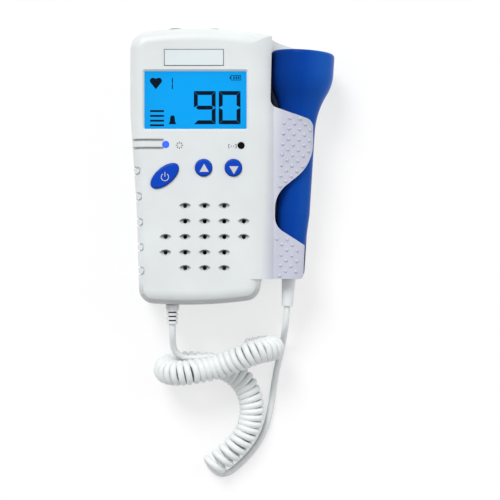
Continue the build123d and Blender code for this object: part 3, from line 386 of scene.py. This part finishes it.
def shell_finish():
    """The front: cool white, lilac on the deck, and painted shade in its lines, scoops and bottom
    rim.
    """
    finish, slow = grained("shell_white", SHELL_WHITE)
    places = finish.axes()
    white = toned(finish, slow, SHELL_WHITE, SHELL_MOTTLE)
    lilac = toned(finish, slow, GRIP_LILAC, GRIP_MOTTLE)
    # Painted shade on the bottom rim, in the engraved lines and in the speaker's scoops.
    rim_shaded = finish.mixed(rim_shade_level(*places), white, opaque(RIM_PAINTED_SHADE))
    body = finish.mixed(deck_level(*places), rim_shaded, lilac)
    line_shaded = finish.mixed(lines_shade_level(*places), body, opaque(LINE_PAINTED_SHADE))
    finish.set(Base_Color=finish.mixed(scoop_shade_level(*places), line_shaded, opaque(SCOOP_PAINTED_SHADE)))
    return finish


def rear_finish():
    """The rear half of the case: white, with painted dark-blue shade along the rim beside the
    probe's head.
    """
    finish, _ = grained("rear_white", SHELL_WHITE)
    x, y, z = finish.axes()
    across = x.ramp(*SHADE_LEFT_X) * x.fall(*SHADE_RIGHT_X)
    along = y.ramp(*SHADE_LOW_Y) * y.fall(*SHADE_HIGH_Y)
    shade = across * along * z.ramp(*SHADE_Z)
    finish.set(Base_Color=finish.colours(shade, (0.0, SHELL_WHITE), (1.0, SHADE_BLUE)))
    return finish


def lit_display():
    """A display lit from behind, a little brighter in the middle."""
    finish = Finish("display_lit", LCD_DARK, 0.3)
    edge = square_off(*finish.axes("XY"), DISPLAY_CENTRE, DISPLAY_REACH).ramp(*DISPLAY_FADE)
    finish.set(
        Emission_Color=finish.colours(edge, (0.0, LCD_BLUE), (1.0, tinted(LCD_BLUE, -0.16))),
        Emission_Strength=0.92, Specular_IOR_Level=0.1,
    )
    return finish


def clear_window():
    """The clear window over the display: mostly seen through, with gloss."""
    finish = Finish("window_clear", WINDOW_TINT, 0.06)
    smear = finish.noise(0.08)
    finish.set(Alpha=0.04, Specular_IOR_Level=0.12, Roughness=smear * 0.08 + 0.03)
    return finish


def lit_lens():
    """The power light: a blue lens, brightest in the middle."""
    finish = Finish("lens_lit", LENS_BLUE, 0.2)
    edge = square_off(*finish.axes("XY"), LIGHT_CENTRE, (LIGHT_R, LIGHT_R)).ramp(0.0, 1.0)
    finish.set(
        Emission_Color=finish.colours(edge, (0.0, LENS_MIDDLE), (1.0, LENS_EDGE)),
        Emission_Strength=0.75,
    )
    return finish


def circuit_board():
    """Green solder mask with lighter tracks."""
    finish = Finish("board_green", BOARD_GREEN, 0.35)
    tracks = finish.node(
        "ShaderNodeTexBrick", {"offset": 0.0},
        {
            "Vector": finish.place, "Scale": 350.0, "Mortar Size": 0.03,
            "Color1": opaque(BOARD_GREEN), "Color2": opaque(BOARD_PALE),
            "Mortar": opaque(TRACK_GREEN),
        },
    )
    finish.set(Base_Color=tracks.outputs["Color"])
    finish.bump(Level(finish, tracks.outputs["Fac"]), 0.03)
    return finish


def probe_finish():
    """The probe's blue, with painted shade on the side that lies in the holster and painted light
    on the other.
    """
    finish, _ = grained("probe_blue", PROBE_BLUE, 0.28, grain=5.0, depth=0.015, gloss=0.05)
    x, y = finish.axes("XY")
    lean = math.tan(PROBE_TILT)
    across = (x - y * lean) - (PROBE_TOP[0] - PROBE_TOP[1] * lean)
    # Painted shade on the holster's side, the plain blue in the middle, painted light on the far
    # side.
    stops = (0.0, tinted(PROBE_BLUE, -0.4)), (0.5, PROBE_BLUE), (1.0, PROBE_PAINTED_LIGHT)
    finish.set(Base_Color=finish.colours(across.ramp(-PROBE_HEAD_R, PROBE_HEAD_R), *stops))
    return finish


def ribbed_sleeve():
    """The plug's sleeve: white ribs, and painted shade in the gaps between them."""
    finish, _ = grained("sleeve_white", PLUG_WHITE)
    rib = square_off(*finish.axes("XZ"), SLEEVE_AXIS).ramp(RIB_FOOT_R ** 2, RIB_TOP_R ** 2)
    finish.set(Base_Color=finish.colours(rib, (0.0, RIB_GAP_PAINTED_SHADE), (1.0, PLUG_WHITE)))
    return finish


FINISHES = {  # by the record's slots
    "shell": shell_finish(),
    "plate": moulded("plate_white", (0.74, 0.81, 0.83), 0.3, grain=10.0, depth=0.004),
    "steel": metal("steel_plain", (0.62, 0.62, 0.63)),
    "window": clear_window(),
    "display": lit_display(),
    "light_guide": moulded("guide_white", (0.85, 0.88, 0.92), 0.25),
    "frame": moulded("frame_white", (0.80, 0.80, 0.81), 0.5),
    "board": circuit_board(),
    "dark_plastic": moulded("socket_black", (0.015, 0.015, 0.018), 0.45),
    "chip": moulded("chip_cream", (0.80, 0.78, 0.60), 0.4),
    "blue_lens": lit_lens(),
    "cell": moulded("cell_grey", (0.07, 0.075, 0.09), 0.3, grain=2.0),
    "blue_button": moulded(
        "button_blue", BUTTON_BLUE, 0.30, grain=8.0, depth=0.008, mottle=0.06, gloss=0.12
    ),
    "cone": moulded("cone_black", (0.012, 0.012, 0.012), 0.8, grain=3.0, depth=0.06),
    "magnet": metal("magnet_grey", (0.25, 0.25, 0.26), 0.45),
    "gasket": moulded("gasket_foam", (0.02, 0.02, 0.02), 0.9, grain=3.0, depth=0.1),
    "plug": moulded("plug_white", PLUG_WHITE),
    "cord": moulded("cord_white", CORD_WHITE, 0.42, grain=4.0, depth=0.01),
    "probe_blue": probe_finish(),
    "lens": moulded("lens_grey", (0.66, 0.68, 0.71), 0.3, grain=8.0),
    "crystal": moulded("crystal_cream", (0.62, 0.60, 0.52), 0.5),
    "backing": moulded("backing_dark", (0.03, 0.03, 0.032), 0.7, grain=2.0, depth=0.05),
}
OWN_FINISHES = {  # of nodes that differ from the rest of their slot
    "charge_indicator": moulded(
        "lens_unlit", (0.002, 0.002, 0.003), 0.22, grain=10.0, depth=0.003, gloss=0.12
    ),
    "plug_strain_relief": ribbed_sleeve(),
    "rear_shell": rear_finish(),
}
INK = moulded("display_ink", LCD_INK, 0.5, mottle=0.1, gloss=0.05)
PRINT = moulded("case_print", PRINT_GREY, 0.5, mottle=0.1)
SYMBOL = moulded("symbol_pale", SYMBOL_PALE, 0.4)
GRIP_DOT = moulded("grip_lilac", GRIP_LILAC, 0.42)

for subpart in frame["record"]["subparts"]:
    finish = OWN_FINISHES.get(subpart["node"], FINISHES[subpart["material_slot"]])
    materials = NODES[subpart["node"]].data.materials
    materials.clear()
    materials.append(finish.material)


# ---- Building new pieces ----------------------------------------------------------------------


def finished(shape, name, smooth):
    """Turns the bmesh into a mesh."""
    bmesh.ops.recalc_face_normals(shape, faces=shape.faces)
    mesh = bpy.data.meshes.new(name)
    shape.to_mesh(mesh)
    shape.free()
    for face in mesh.polygons:
        face.use_smooth = smooth
    return mesh


def piece(name, shape, finish, body, smooth=False):
    """Makes the bmesh a new piece of the object that rides on a body."""
    obj = bpy.data.objects.new(name, finished(shape, name, smooth))
    bpy.context.scene.collection.objects.link(obj)
    obj.data.materials.append(finish.material)
    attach(obj, body)


def add_plate(shape, outline, bottom, top):
    """A flat plate with this outline, added to the shape."""
    corners = [shape.verts.new((x * MM, y * MM, bottom * MM)) for x, y in outline]
    face = shape.faces.new(corners)
    raised = bmesh.ops.extrude_face_region(shape, geom=[face])["geom"]
    lifted = [part for part in raised if isinstance(part, bmesh.types.BMVert)]
    bmesh.ops.translate(shape, verts=lifted, vec=(0.0, 0.0, (top - bottom) * MM))


def add_bars(shape, bars, bottom, top):
    """Upright rectangles, each from its left, right, lower and upper side."""
    for left, right, low, high in bars:
        add_plate(shape, [(left, low), (right, low), (right, high), (left, high)], bottom, top)


def ring_points(centre, radius, count, start=0.0, turn=360.0):
    """Points on an arc of so many steps, which starts and turns by these degrees."""
    step = math.radians(turn) / count
    first = math.radians(start)
    steps = count if turn == 360.0 else count + 1
    return [
        (
            centre[0] + radius * math.cos(first + step * i),
            centre[1] + radius * math.sin(first + step * i),
        )
        for i in range(steps)
    ]


# ---- Display segments -------------------------------------------------------------------------
INK_Z = (30.98, 31.04)
STROKE = 1.9
DIGIT_SIZE = (10.5, 16.0)
DIGITS_LOW, NINE_LEFT, ZERO_LEFT = 20.95, -18.5, -6.5
SEGMENT_GAP = 0.07
# Segments of a digit as their two ends, in shares of its width and height from the lower left,
# the side that faces out, and how far that side's corners reach past the ends, in half strokes.
SEGMENTS = {
    "top": ((0, 1), (1, 1), (0, 1), (1, 1)),
    "bottom": ((0, 0), (1, 0), (0, -1), (1, 1)),
    "upper_left": ((0, 0.5), (0, 1), (-1, 0), (0, 1)),
    "upper_right": ((1, 0.5), (1, 1), (1, 0), (0, 1)),
    "lower_left": ((0, 0), (0, 0.5), (-1, 0), (1, 0)),
    "lower_right": ((1, 0), (1, 0.5), (1, 0), (1, 0)),
    "middle": ((0, 0.5), (1, 0.5), (0, 0), (0, 0)),
}
DIGITS = {
    9: ("top", "middle", "bottom", "upper_left", "upper_right", "lower_right"),
    0: ("top", "bottom", "upper_left", "upper_right", "lower_left", "lower_right"),
}


def add_segment(shape, start, end, outer, reach):
    """One bar of a digit with mitred ends; the middle bar has no outer side, and is pointed."""
    along = (end - start).normalized()
    across = Vector((-along.y, along.x))
    half, back = STROKE / 2.0, along * (STROKE / 2.0 + SEGMENT_GAP)
    if outer.length:
        first = along * (SEGMENT_GAP - reach[0] * half)
        last = along * (SEGMENT_GAP - reach[1] * half)
        outline = [
            start + first + outer * half, start + back - outer * half,
            end - back - outer * half, end - last + outer * half,
        ]
    else:
        tip = along * SEGMENT_GAP
        outline = [
            start + tip, start + back + across * half, end - back + across * half,
            end - tip, end - back - across * half, start + back - across * half,
        ]
    add_plate(shape, outline, *INK_Z)


def add_digit(shape, digit, left, bottom):
    """A seven-segment digit from its lower left corner."""
    width, height = DIGIT_SIZE[0] - STROKE, DIGIT_SIZE[1] - STROKE
    corner = Vector((left + STROKE / 2.0, bottom + STROKE / 2.0))
    for name in DIGITS[digit]:
        *ends, outer, reach = SEGMENTS[name]
        start, end = [corner + Vector((x * width, y * height)) for x, y in ends]
        add_segment(shape, start, end, Vector(outer), reach)


digits = bmesh.new()
add_digit(digits, 9, NINE_LEFT, DIGITS_LOW)
add_digit(digits, 0, ZERO_LEFT, DIGITS_LOW)
piece("display_digits", digits, INK, "root")

# ---- Display icons ----------------------------------------------------------------------------
HEART = (-36.8, 41.9)
LEVEL_X, LEVELS_Y, LEVEL_HALF = (-39.6, -32.9), (27.3, 24.97, 22.65, 20.45), 0.47
TICK_X, TICKS_Y = (-29.1, -28.6), ((37.9, 40.3), (40.7, 43.2))
BELL_SKIRT = [(-30.6, 20.95), (-27.0, 20.95), (-27.5, 22.2), (-27.7, 23.9)]
BELL_CROWN, BELL_CROWN_R = (-28.8, 24.2), 1.1
BELL_LEFT = [(-29.9, 23.9), (-30.1, 22.2)]
BATTERY_X, BATTERY_Y, CELLS_X = (-0.7, 4.25), (42.1, 44.6), (0.5, 1.65, 2.8)


def add_heart(shape, x, y):
    """A heart, from the height of its lobes' centres."""
    lobe_out, lobe_r, point_down = 1.42, 1.5, 4.1
    outline = ring_points((x - lobe_out, y), lobe_r, 8, 205.0, -160.0)
    outline += ring_points((x + lobe_out, y), lobe_r, 8, 135.0, -160.0)
    add_plate(shape, outline + [(x, y - point_down)], *INK_Z)


def add_battery(shape, left, right, low, high):
    """A battery with its nub on the left and its cells inside."""
    wall, nub, nub_inset, cell, cell_inset = 0.3, 0.5, 0.7, 0.65, 0.6
    bars = [
        (left, right, low, low + wall),
        (left, right, high - wall, high),
        (right - wall, right, low + wall, high - wall),
        (left, left + wall, low + wall, high - wall),
        (left - nub, left, low + nub_inset, high - nub_inset),
    ]
    bars += [(x, x + cell, low + cell_inset, high - cell_inset) for x in CELLS_X]
    add_bars(shape, bars, *INK_Z)


icons = bmesh.new()
add_heart(icons, *HEART)
add_bars(icons, [(*LEVEL_X, y - LEVEL_HALF, y + LEVEL_HALF) for y in LEVELS_Y], *INK_Z)
add_bars(icons, [(*TICK_X, *ends) for ends in TICKS_Y], *INK_Z)
bell = BELL_SKIRT + ring_points(BELL_CROWN, BELL_CROWN_R, 6, 0.0, 180.0) + BELL_LEFT
add_plate(icons, bell, *INK_Z)
add_battery(icons, *BATTERY_X, *BATTERY_Y)
piece("display_icons", icons, INK, "root")

# ---- Symbols on the case and the buttons ------------------------------------------------------
FRONT_Z, BUTTON_Z, PLATE_Z = 34.0, 35.3, 34.15
SINK, PROUD = 0.03, 0.02  # how deep a print starts, and how far it stands out
FRONT_PRINT_Z = (FRONT_Z - SINK, FRONT_Z + PROUD)
BUTTON_PRINT_Z = (BUTTON_Z - SINK, BUTTON_Z + PROUD)
PLATE_STEP = 0.15  # from the plate down to the case round it
# Heights of the dark line painted round the nameplate as the shade at its edge.
PLATE_SHADE_Z = (PLATE_Z - SINK - PLATE_STEP, PLATE_Z + PROUD)

SUN, SUN_RAYS = (-25.3, 10.6), 8
RAY_FROM, RAY_TO, RAY_HALF = 0.9, 1.75, 0.19
BRACKETS_X, BRACKETS_Y = ((-1.85, -1.55), (1.8, 2.1)), (9.2, 11.1)
HOOKS_X, HOOKS_Y, HOOK_HIGH = ((-1.55, -1.1), (1.35, 1.8)), (9.2, 10.85), 0.25
SIGN_DOTS_X, SIGN_DOTS_Y, SIGN_DOT_R = (-0.45, 0.7), 10.15, 0.28
PLATE_X, PLATE_Y = (-32.4, -4.3), (49.1, 56.5)
# Width of the dark line painted round the nameplate as the shade at its edge.
PLATE_SHADE_WIDTH = 0.28
POWER_CENTRE, POWER_OUTER_R, POWER_INNER_R = (-32.2, -4.7), 1.95, 1.60
POWER_ARC = (24, 125.0, 290.0)  # steps, start and turn
POWER_BAR_HALF, POWER_BAR_Y = 0.18, (0.2, 2.4)
ARROWS = {
    "up": [(-15.6, -2.2), (-11.2, -2.2), (-13.4, 1.7)],
    "down": [(-1.35, 0.45), (0.85, -3.3), (3.05, 0.45)],
}


def add_sun(shape, centre):
    """A sun's rays."""
    for i in range(SUN_RAYS):
        angle = math.tau * i / SUN_RAYS
        ray = Vector((math.cos(angle), math.sin(angle)))
        side = Vector((-ray.y, ray.x)) * RAY_HALF
        inner, outer = Vector(centre) + ray * RAY_FROM, Vector(centre) + ray * RAY_TO
        add_plate(shape, [inner - side, outer - side, outer + side, inner + side], *FRONT_PRINT_Z)


case_print = bmesh.new()
add_sun(case_print, SUN)
sign = [(*ends, *BRACKETS_Y) for ends in BRACKETS_X]
sign += [(*ends, low, low + HOOK_HIGH) for ends in HOOKS_X for low in HOOKS_Y]
add_bars(case_print, sign, *FRONT_PRINT_Z)
for x in SIGN_DOTS_X:
    add_plate(case_print, ring_points((x, SIGN_DOTS_Y), SIGN_DOT_R, 8), *FRONT_PRINT_Z)
piece("case_symbols", case_print, PRINT, "root")

# A dark line painted round the nameplate on the case, as the shade at the plate's edge; it takes
# the print's finish.
(left, right), (low, high) = PLATE_X, PLATE_Y
border = [(left, right, low - PLATE_SHADE_WIDTH, low), (left, right, high, high + PLATE_SHADE_WIDTH)]
border += [
    (start, start + PLATE_SHADE_WIDTH, low - PLATE_SHADE_WIDTH, high + PLATE_SHADE_WIDTH)
    for start in (left - PLATE_SHADE_WIDTH, right)
]
plate_edge_shade = bmesh.new()
add_bars(plate_edge_shade, border, *PLATE_SHADE_Z)
piece("plate_edge_shade", plate_edge_shade, PRINT, "root")

power = bmesh.new()
outer, inner = (
    ring_points(POWER_CENTRE, radius, *POWER_ARC) for radius in (POWER_OUTER_R, POWER_INNER_R)
)
add_plate(power, outer + inner[::-1], *BUTTON_PRINT_Z)
power_x, power_y = POWER_CENTRE
bar_x = (power_x - POWER_BAR_HALF, power_x + POWER_BAR_HALF)
add_bars(power, [(*bar_x, *(power_y + end for end in POWER_BAR_Y))], *BUTTON_PRINT_Z)
piece("power_symbol", power, SYMBOL, "power_button")

for name, tips in ARROWS.items():
    arrow = bmesh.new()
    add_plate(arrow, tips, *BUTTON_PRINT_Z)
    piece(f"{name}_symbol", arrow, SYMBOL, f"{name}_button")

# ---- Grip dots beside the probe ---------------------------------------------------------------
DOT_PITCH = 5.1
DOT_R, DOT_HEIGHT = 0.85, 0.55
DOT_FIRST_ACROSS = -7.3  # from the probe's axis
DOT_COLUMNS, DOT_ROWS = 8, range(-25, -1)
DOT_MARGIN = 1.4  # so far round a dot the grip goes on
DOT_MIN_RISE = 0.25  # of the grip's normal under a dot
DOT_MAX_DROP, DOT_MIN_LIKE = 4.0, 0.75  # from a dot to its margin: in height, and as a cosine
DROP_FROM = 60.0  # above the whole case

front_tree = BVHTree.FromObject(NODES["front_shell"], bpy.context.evaluated_depsgraph_get())


def probe_point(across, along):
    """A place across the probe's axis and along it from its top, as x and y."""
    cos, sin = math.cos(PROBE_TILT), math.sin(PROBE_TILT)
    return PROBE_TOP[0] + across * cos + along * sin, PROBE_TOP[1] - across * sin + along * cos


def drop(x, y):
    """Where a line straight down meets the front shell, in metres, and its normal there."""
    start, down = Vector((x * MM, y * MM, DROP_FROM * MM)), Vector((0.0, 0.0, -1.0))
    place, normal, _, _ = front_tree.ray_cast(start, down)
    return place, normal


def dot_place(across, along):
    """A dot's place on the grip, or None where the grip is too narrow or too steep for it."""
    x, y = probe_point(across, along)
    place, normal = drop(x, y)
    if place is None or normal.z < DOT_MIN_RISE or place.z < DECK_LOW * MM:
        return None
    for near_x, near_y in ring_points((x, y), DOT_MARGIN, 8):
        near, near_normal = drop(near_x, near_y)
        if near is None or abs(near.z - place.z) > DOT_MAX_DROP * MM:
            return None
        if near_normal.dot(normal) < DOT_MIN_LIKE:
            return None
    return place, normal


dots = bmesh.new()
squash = Matrix.Diagonal((1.0, 1.0, DOT_HEIGHT / DOT_R, 1.0))
for column in range(DOT_COLUMNS):
    for row in DOT_ROWS:
        across = DOT_FIRST_ACROSS + column * DOT_PITCH / 2.0
        along = (row + (0.5 if column % 2 else 0.0)) * DOT_PITCH
        found = dot_place(across, along)
        if not found:
            continue
        place, normal = found
        dome = bmesh.ops.create_uvsphere(dots, u_segments=10, v_segments=6, radius=DOT_R * MM)
        turn = normal.to_track_quat("Z", "Y").to_matrix().to_4x4()
        seat = Matrix.Translation(place) @ turn @ squash
        bmesh.ops.transform(dots, matrix=seat, verts=dome["verts"])
piece("grip_dots", dots, GRIP_DOT, "root", smooth=True)

# ---- Cord -------------------------------------------------------------------------------------
CORD_R = 1.6
COIL_R = 6.25
COIL_Z, LEAD_Z = 6.35, 1.65
PLUG_LEAD_ROUTE = [
    (-29.2, -75.44, 23.6), (-29.2, -79.04, 23.6), (-29.2, -83.14, 21.7), (-29.2, -87.6, 17.6),
    (-27.1, -91.3, 15.5), (-23.0, -93.3, 13.9), (-13.4, -92.9, 13.5), (-3.9, -91.9, 12.0),
    (1.0, -91.2, 11.1), (6.4, -90.6, 11.0),
]
COIL_ROUTE = [
    (6.5, -90.0, COIL_Z), (14.6, -88.6, COIL_Z), (19.8, -88.1, 12.35), (18.6, -87.9, 20.5),
    (11.0, -89.3, 24.2), (-3.9, -95.9, 19.3), (-13.4, -98.4, 19.1), (-24.2, -99.9, 23.4),
    (-31.8, -99.6, 19.8), (-33.3, -98.0, 11.9), (-27.8, -96.2, COIL_Z), (-13.4, -96.6, COIL_Z),
    (-4.2, -98.0, COIL_Z), (4.6, -104.0, COIL_Z), (8.8, -112.2, COIL_Z), (9.9, -119.8, COIL_Z),
    (8.6, -127.2, COIL_Z), (4.9, -133.9, COIL_Z), (-0.2, -139.6, COIL_Z), (-10.2, -147.3, COIL_Z),
]
PROBE_LEAD_ROUTE = [
    (-11.3, -148.1, 1.7), (-9.5, -150.4, LEAD_Z), (-6.1, -152.3, LEAD_Z), (-1.9, -151.5, LEAD_Z),
    (2.4, -148.2, LEAD_Z), (6.8, -144.0, LEAD_Z), (11.0, -139.2, LEAD_Z), (14.6, -133.4, LEAD_Z),
    (17.3, -126.6, LEAD_Z), (19.4, -117.0, LEAD_Z), (20.6, -107.5, LEAD_Z), (22.2, -98.5, LEAD_Z),
    (24.3, -90.4, LEAD_Z), (25.1, -85.2, 4.65), (25.8, -79.0, 15.5), (26.42, -73.05, 18.5),
    (26.80, -67.06, 18.5),
]
COIL_RESOLUTION, WIRE_RESOLUTION, LEAD_RESOLUTION = 24, 2, 12

TURN_POINTS = 16  # the wire's control points in a turn
FIRST_ANGLE = math.radians(50.0)  # where the wire joins the coil, past its top
COIL_OVERRUN = 1.4  # the wire ends this far past the coil's end
LINE_STEP = 0.1  # at which the coil's line is read
BEND_REACH = 4.0  # each way along the line, over which its bend is measured
WIRE_PITCHES = [  # at shares of the coil's length
    (0.0, 3.2), (0.22, 3.3), (0.33, 3.5), (0.42, 3.5),
    (0.56, 3.25), (0.84, 3.3), (0.93, 4.2), (1.0, 5.6),
]
CROWDING, CROWDED_FROM = 0.9, 0.03  # turns bunch up where the coil bends more, in 1/mm


def spline_curve(name, points, resolution, radius=0.0):
    """A smooth curve object with these control points."""
    curve = bpy.data.curves.new(name, "CURVE")
    curve.dimensions = "3D"
    curve.resolution_u = resolution
    curve.bevel_depth = radius * MM
    curve.bevel_resolution = 4
    curve.use_fill_caps = True
    spline = curve.splines.new("NURBS")
    spline.points.add(len(points) - 1)
    for control, place in zip(spline.points, points):
        control.co = (*[value * MM for value in place], 1.0)
    spline.order_u = 3
    spline.use_endpoint_u = True
    obj = bpy.data.objects.new(name, curve)
    bpy.context.scene.collection.objects.link(obj)
    return obj


def curve_mesh(obj):
    """The curve as a mesh; the curve object is taken away."""
    shown = obj.evaluated_get(bpy.context.evaluated_depsgraph_get())
    mesh = bpy.data.meshes.new_from_object(shown)
    bpy.data.objects.remove(obj)
    return mesh


def centre_line(points, resolution):
    """Points along the smooth curve."""
    mesh = curve_mesh(spline_curve("route", points, resolution))
    return [vertex.co / MM for vertex in mesh.vertices]


def stepped(line):
    """Places at an even step along the line and its overrun, and the directions there."""
    line = [*line, line[-1] + (line[-1] - line[-2]).normalized() * COIL_OVERRUN]
    lengths = [(b - a).length for a, b in zip(line, line[1:])]
    count = round(sum(lengths) / LINE_STEP)
    even = sum(lengths) / count
    places, done, index = [], 0.0, 0
    for i in range(count + 1):
        while index < len(lengths) - 1 and done + lengths[index] < i * even:
            done += lengths[index]
            index += 1
        share = min(1.0, (i * even - done) / lengths[index])
        places.append(line[index].lerp(line[index + 1], share))
    before, after = [places[0], *places[:-1]], [*places[1:], places[-1]]
    return places, [(b - a).normalized() for a, b in zip(before, after)]


def wire_pitch(share, bend):
    """The wire's pitch at a share of the coil's length, closer where the coil bends."""
    for (share0, pitch0), (share1, pitch1) in zip(WIRE_PITCHES, WIRE_PITCHES[1:]):
        if share <= share1:
            pitch = pitch0 + (pitch1 - pitch0) * (share - share0) / (share1 - share0)
            break
    return pitch / (1.0 + CROWDING * COIL_R * max(0.0, bend - CROWDED_FROM))


def helix_points(line):
    """Control points of the wire, wound round the coil's line from near its top to its foot."""
    places, ways = stepped(line)
    end = len(places) - 1
    upright = Vector((0.0, 0.0, 1.0))
    sides = [(upright - ways[0] * upright.dot(ways[0])).normalized()]
    for way in ways[1:]:
        sides.append((sides[-1] - way * sides[-1].dot(way)).normalized())
    spread = round(BEND_REACH / LINE_STEP)
    angles = [0.0]
    for i in range(1, end + 1):
        first, last = max(0, i - spread), min(end, i + spread)
        bend = ways[first].angle(ways[last]) / ((last - first) * LINE_STEP)
        angles.append(angles[-1] + math.tau * LINE_STEP / wire_pitch(i / end, bend))
    foot = -upright
    last_angle = math.atan2(foot.dot(ways[-1].cross(sides[-1])), foot.dot(sides[-1]))
    turns = round((angles[-1] - (last_angle - FIRST_ANGLE)) / math.tau)
    swing = turns * math.tau + last_angle - FIRST_ANGLE
    # The control points stand a little outside the wire's own line.
    radius = (COIL_R - CORD_R) * 2.0 / (1.0 + math.cos(math.tau / TURN_POINTS / 2.0) ** 2)
    count = round(swing / math.tau * TURN_POINTS)
    points, index = [], 0
    for i in range(count + 1):
        wanted = angles[-1] * i / count
        while index < end - 1 and angles[index + 1] < wanted:
            index += 1
        place, way, side = places[index], ways[index], sides[index]
        angle = FIRST_ANGLE + swing * i / count
        points.append(place + (side * math.cos(angle) + way.cross(side) * math.sin(angle)) * radius)
    return points


wire = helix_points(centre_line(COIL_ROUTE, COIL_RESOLUTION))
curly_cord = spline_curve("curly_cord", PLUG_LEAD_ROUTE + wire, WIRE_RESOLUTION, CORD_R)
curly_cord.data.materials.append(FINISHES["cord"].material)
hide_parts("plug_lead", "cord_coil")
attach(curly_cord, "root")

lead_route = PROBE_LEAD_ROUTE[::-1]
lead_line = [tuple(place * MM) for place in centre_line(lead_route, LEAD_RESOLUTION)]
lead_mesh = curve_mesh(spline_curve("lead", lead_route, LEAD_RESOLUTION, CORD_R))
probe_cord = bpy.data.objects.new("probe_cord", lead_mesh)
bpy.context.scene.collection.objects.link(probe_cord)
lead_mesh.materials.clear()
lead_mesh.materials.append(FINISHES["cord"].material)
for face in lead_mesh.polygons:
    face.use_smooth = True
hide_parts("probe_lead")
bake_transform(probe_cord)

# ---- Floor ------------------------------------------------------------------------------------
FLOOR_HALF = 1500.0
FLOOR_GAP = 0.05  # keeps the floor off the flat back
FLOOR_GREY = (0.75, 0.75, 0.75)
FLOOR_GLOW = 0.62  # the share of plain white in the floor as it is seen


def floor_finish():
    """A pale floor that looks white and keeps the shadows."""
    finish = Finish("floor_white", FLOOR_GREY, 0.9)
    rays = finish.node("ShaderNodeLightPath", {}, {}).outputs
    seen = 0.0
    for kind in ("Camera", "Glossy", "Transmission"):
        seen = seen + Level(finish, rays[f"Is {kind} Ray"])
    seen = seen.ramp(0.0, 1.0)
    finish.set(
        Base_Color=finish.colours(seen, (0.0, FLOOR_GREY), (1.0, WHITE)), Specular_IOR_Level=0.0
    )
    glow = finish.node("ShaderNodeEmission", {}, {"Color": opaque(WHITE), "Strength": 1.0})
    parts = {0: seen * FLOOR_GLOW, 1: finish.shader.outputs[0], 2: glow.outputs[0]}
    mix = finish.node("ShaderNodeMixShader", {}, parts)
    finish.feed(finish.output.inputs["Surface"], mix.outputs[0])
    return finish


ground = bmesh.new()
bmesh.ops.create_grid(ground, x_segments=1, y_segments=1, size=FLOOR_HALF * MM)
bmesh.ops.translate(ground, verts=ground.verts, vec=(0.0, 0.0, -FLOOR_GAP * MM))
floor = bpy.data.objects.new("floor", finished(ground, "floor", smooth=True))
floor.data.materials.append(floor_finish().material)
bpy.context.scene.collection.objects.link(floor)

set_camera()
set_lights()
bpy.context.scene.view_settings.view_transform = "Standard"
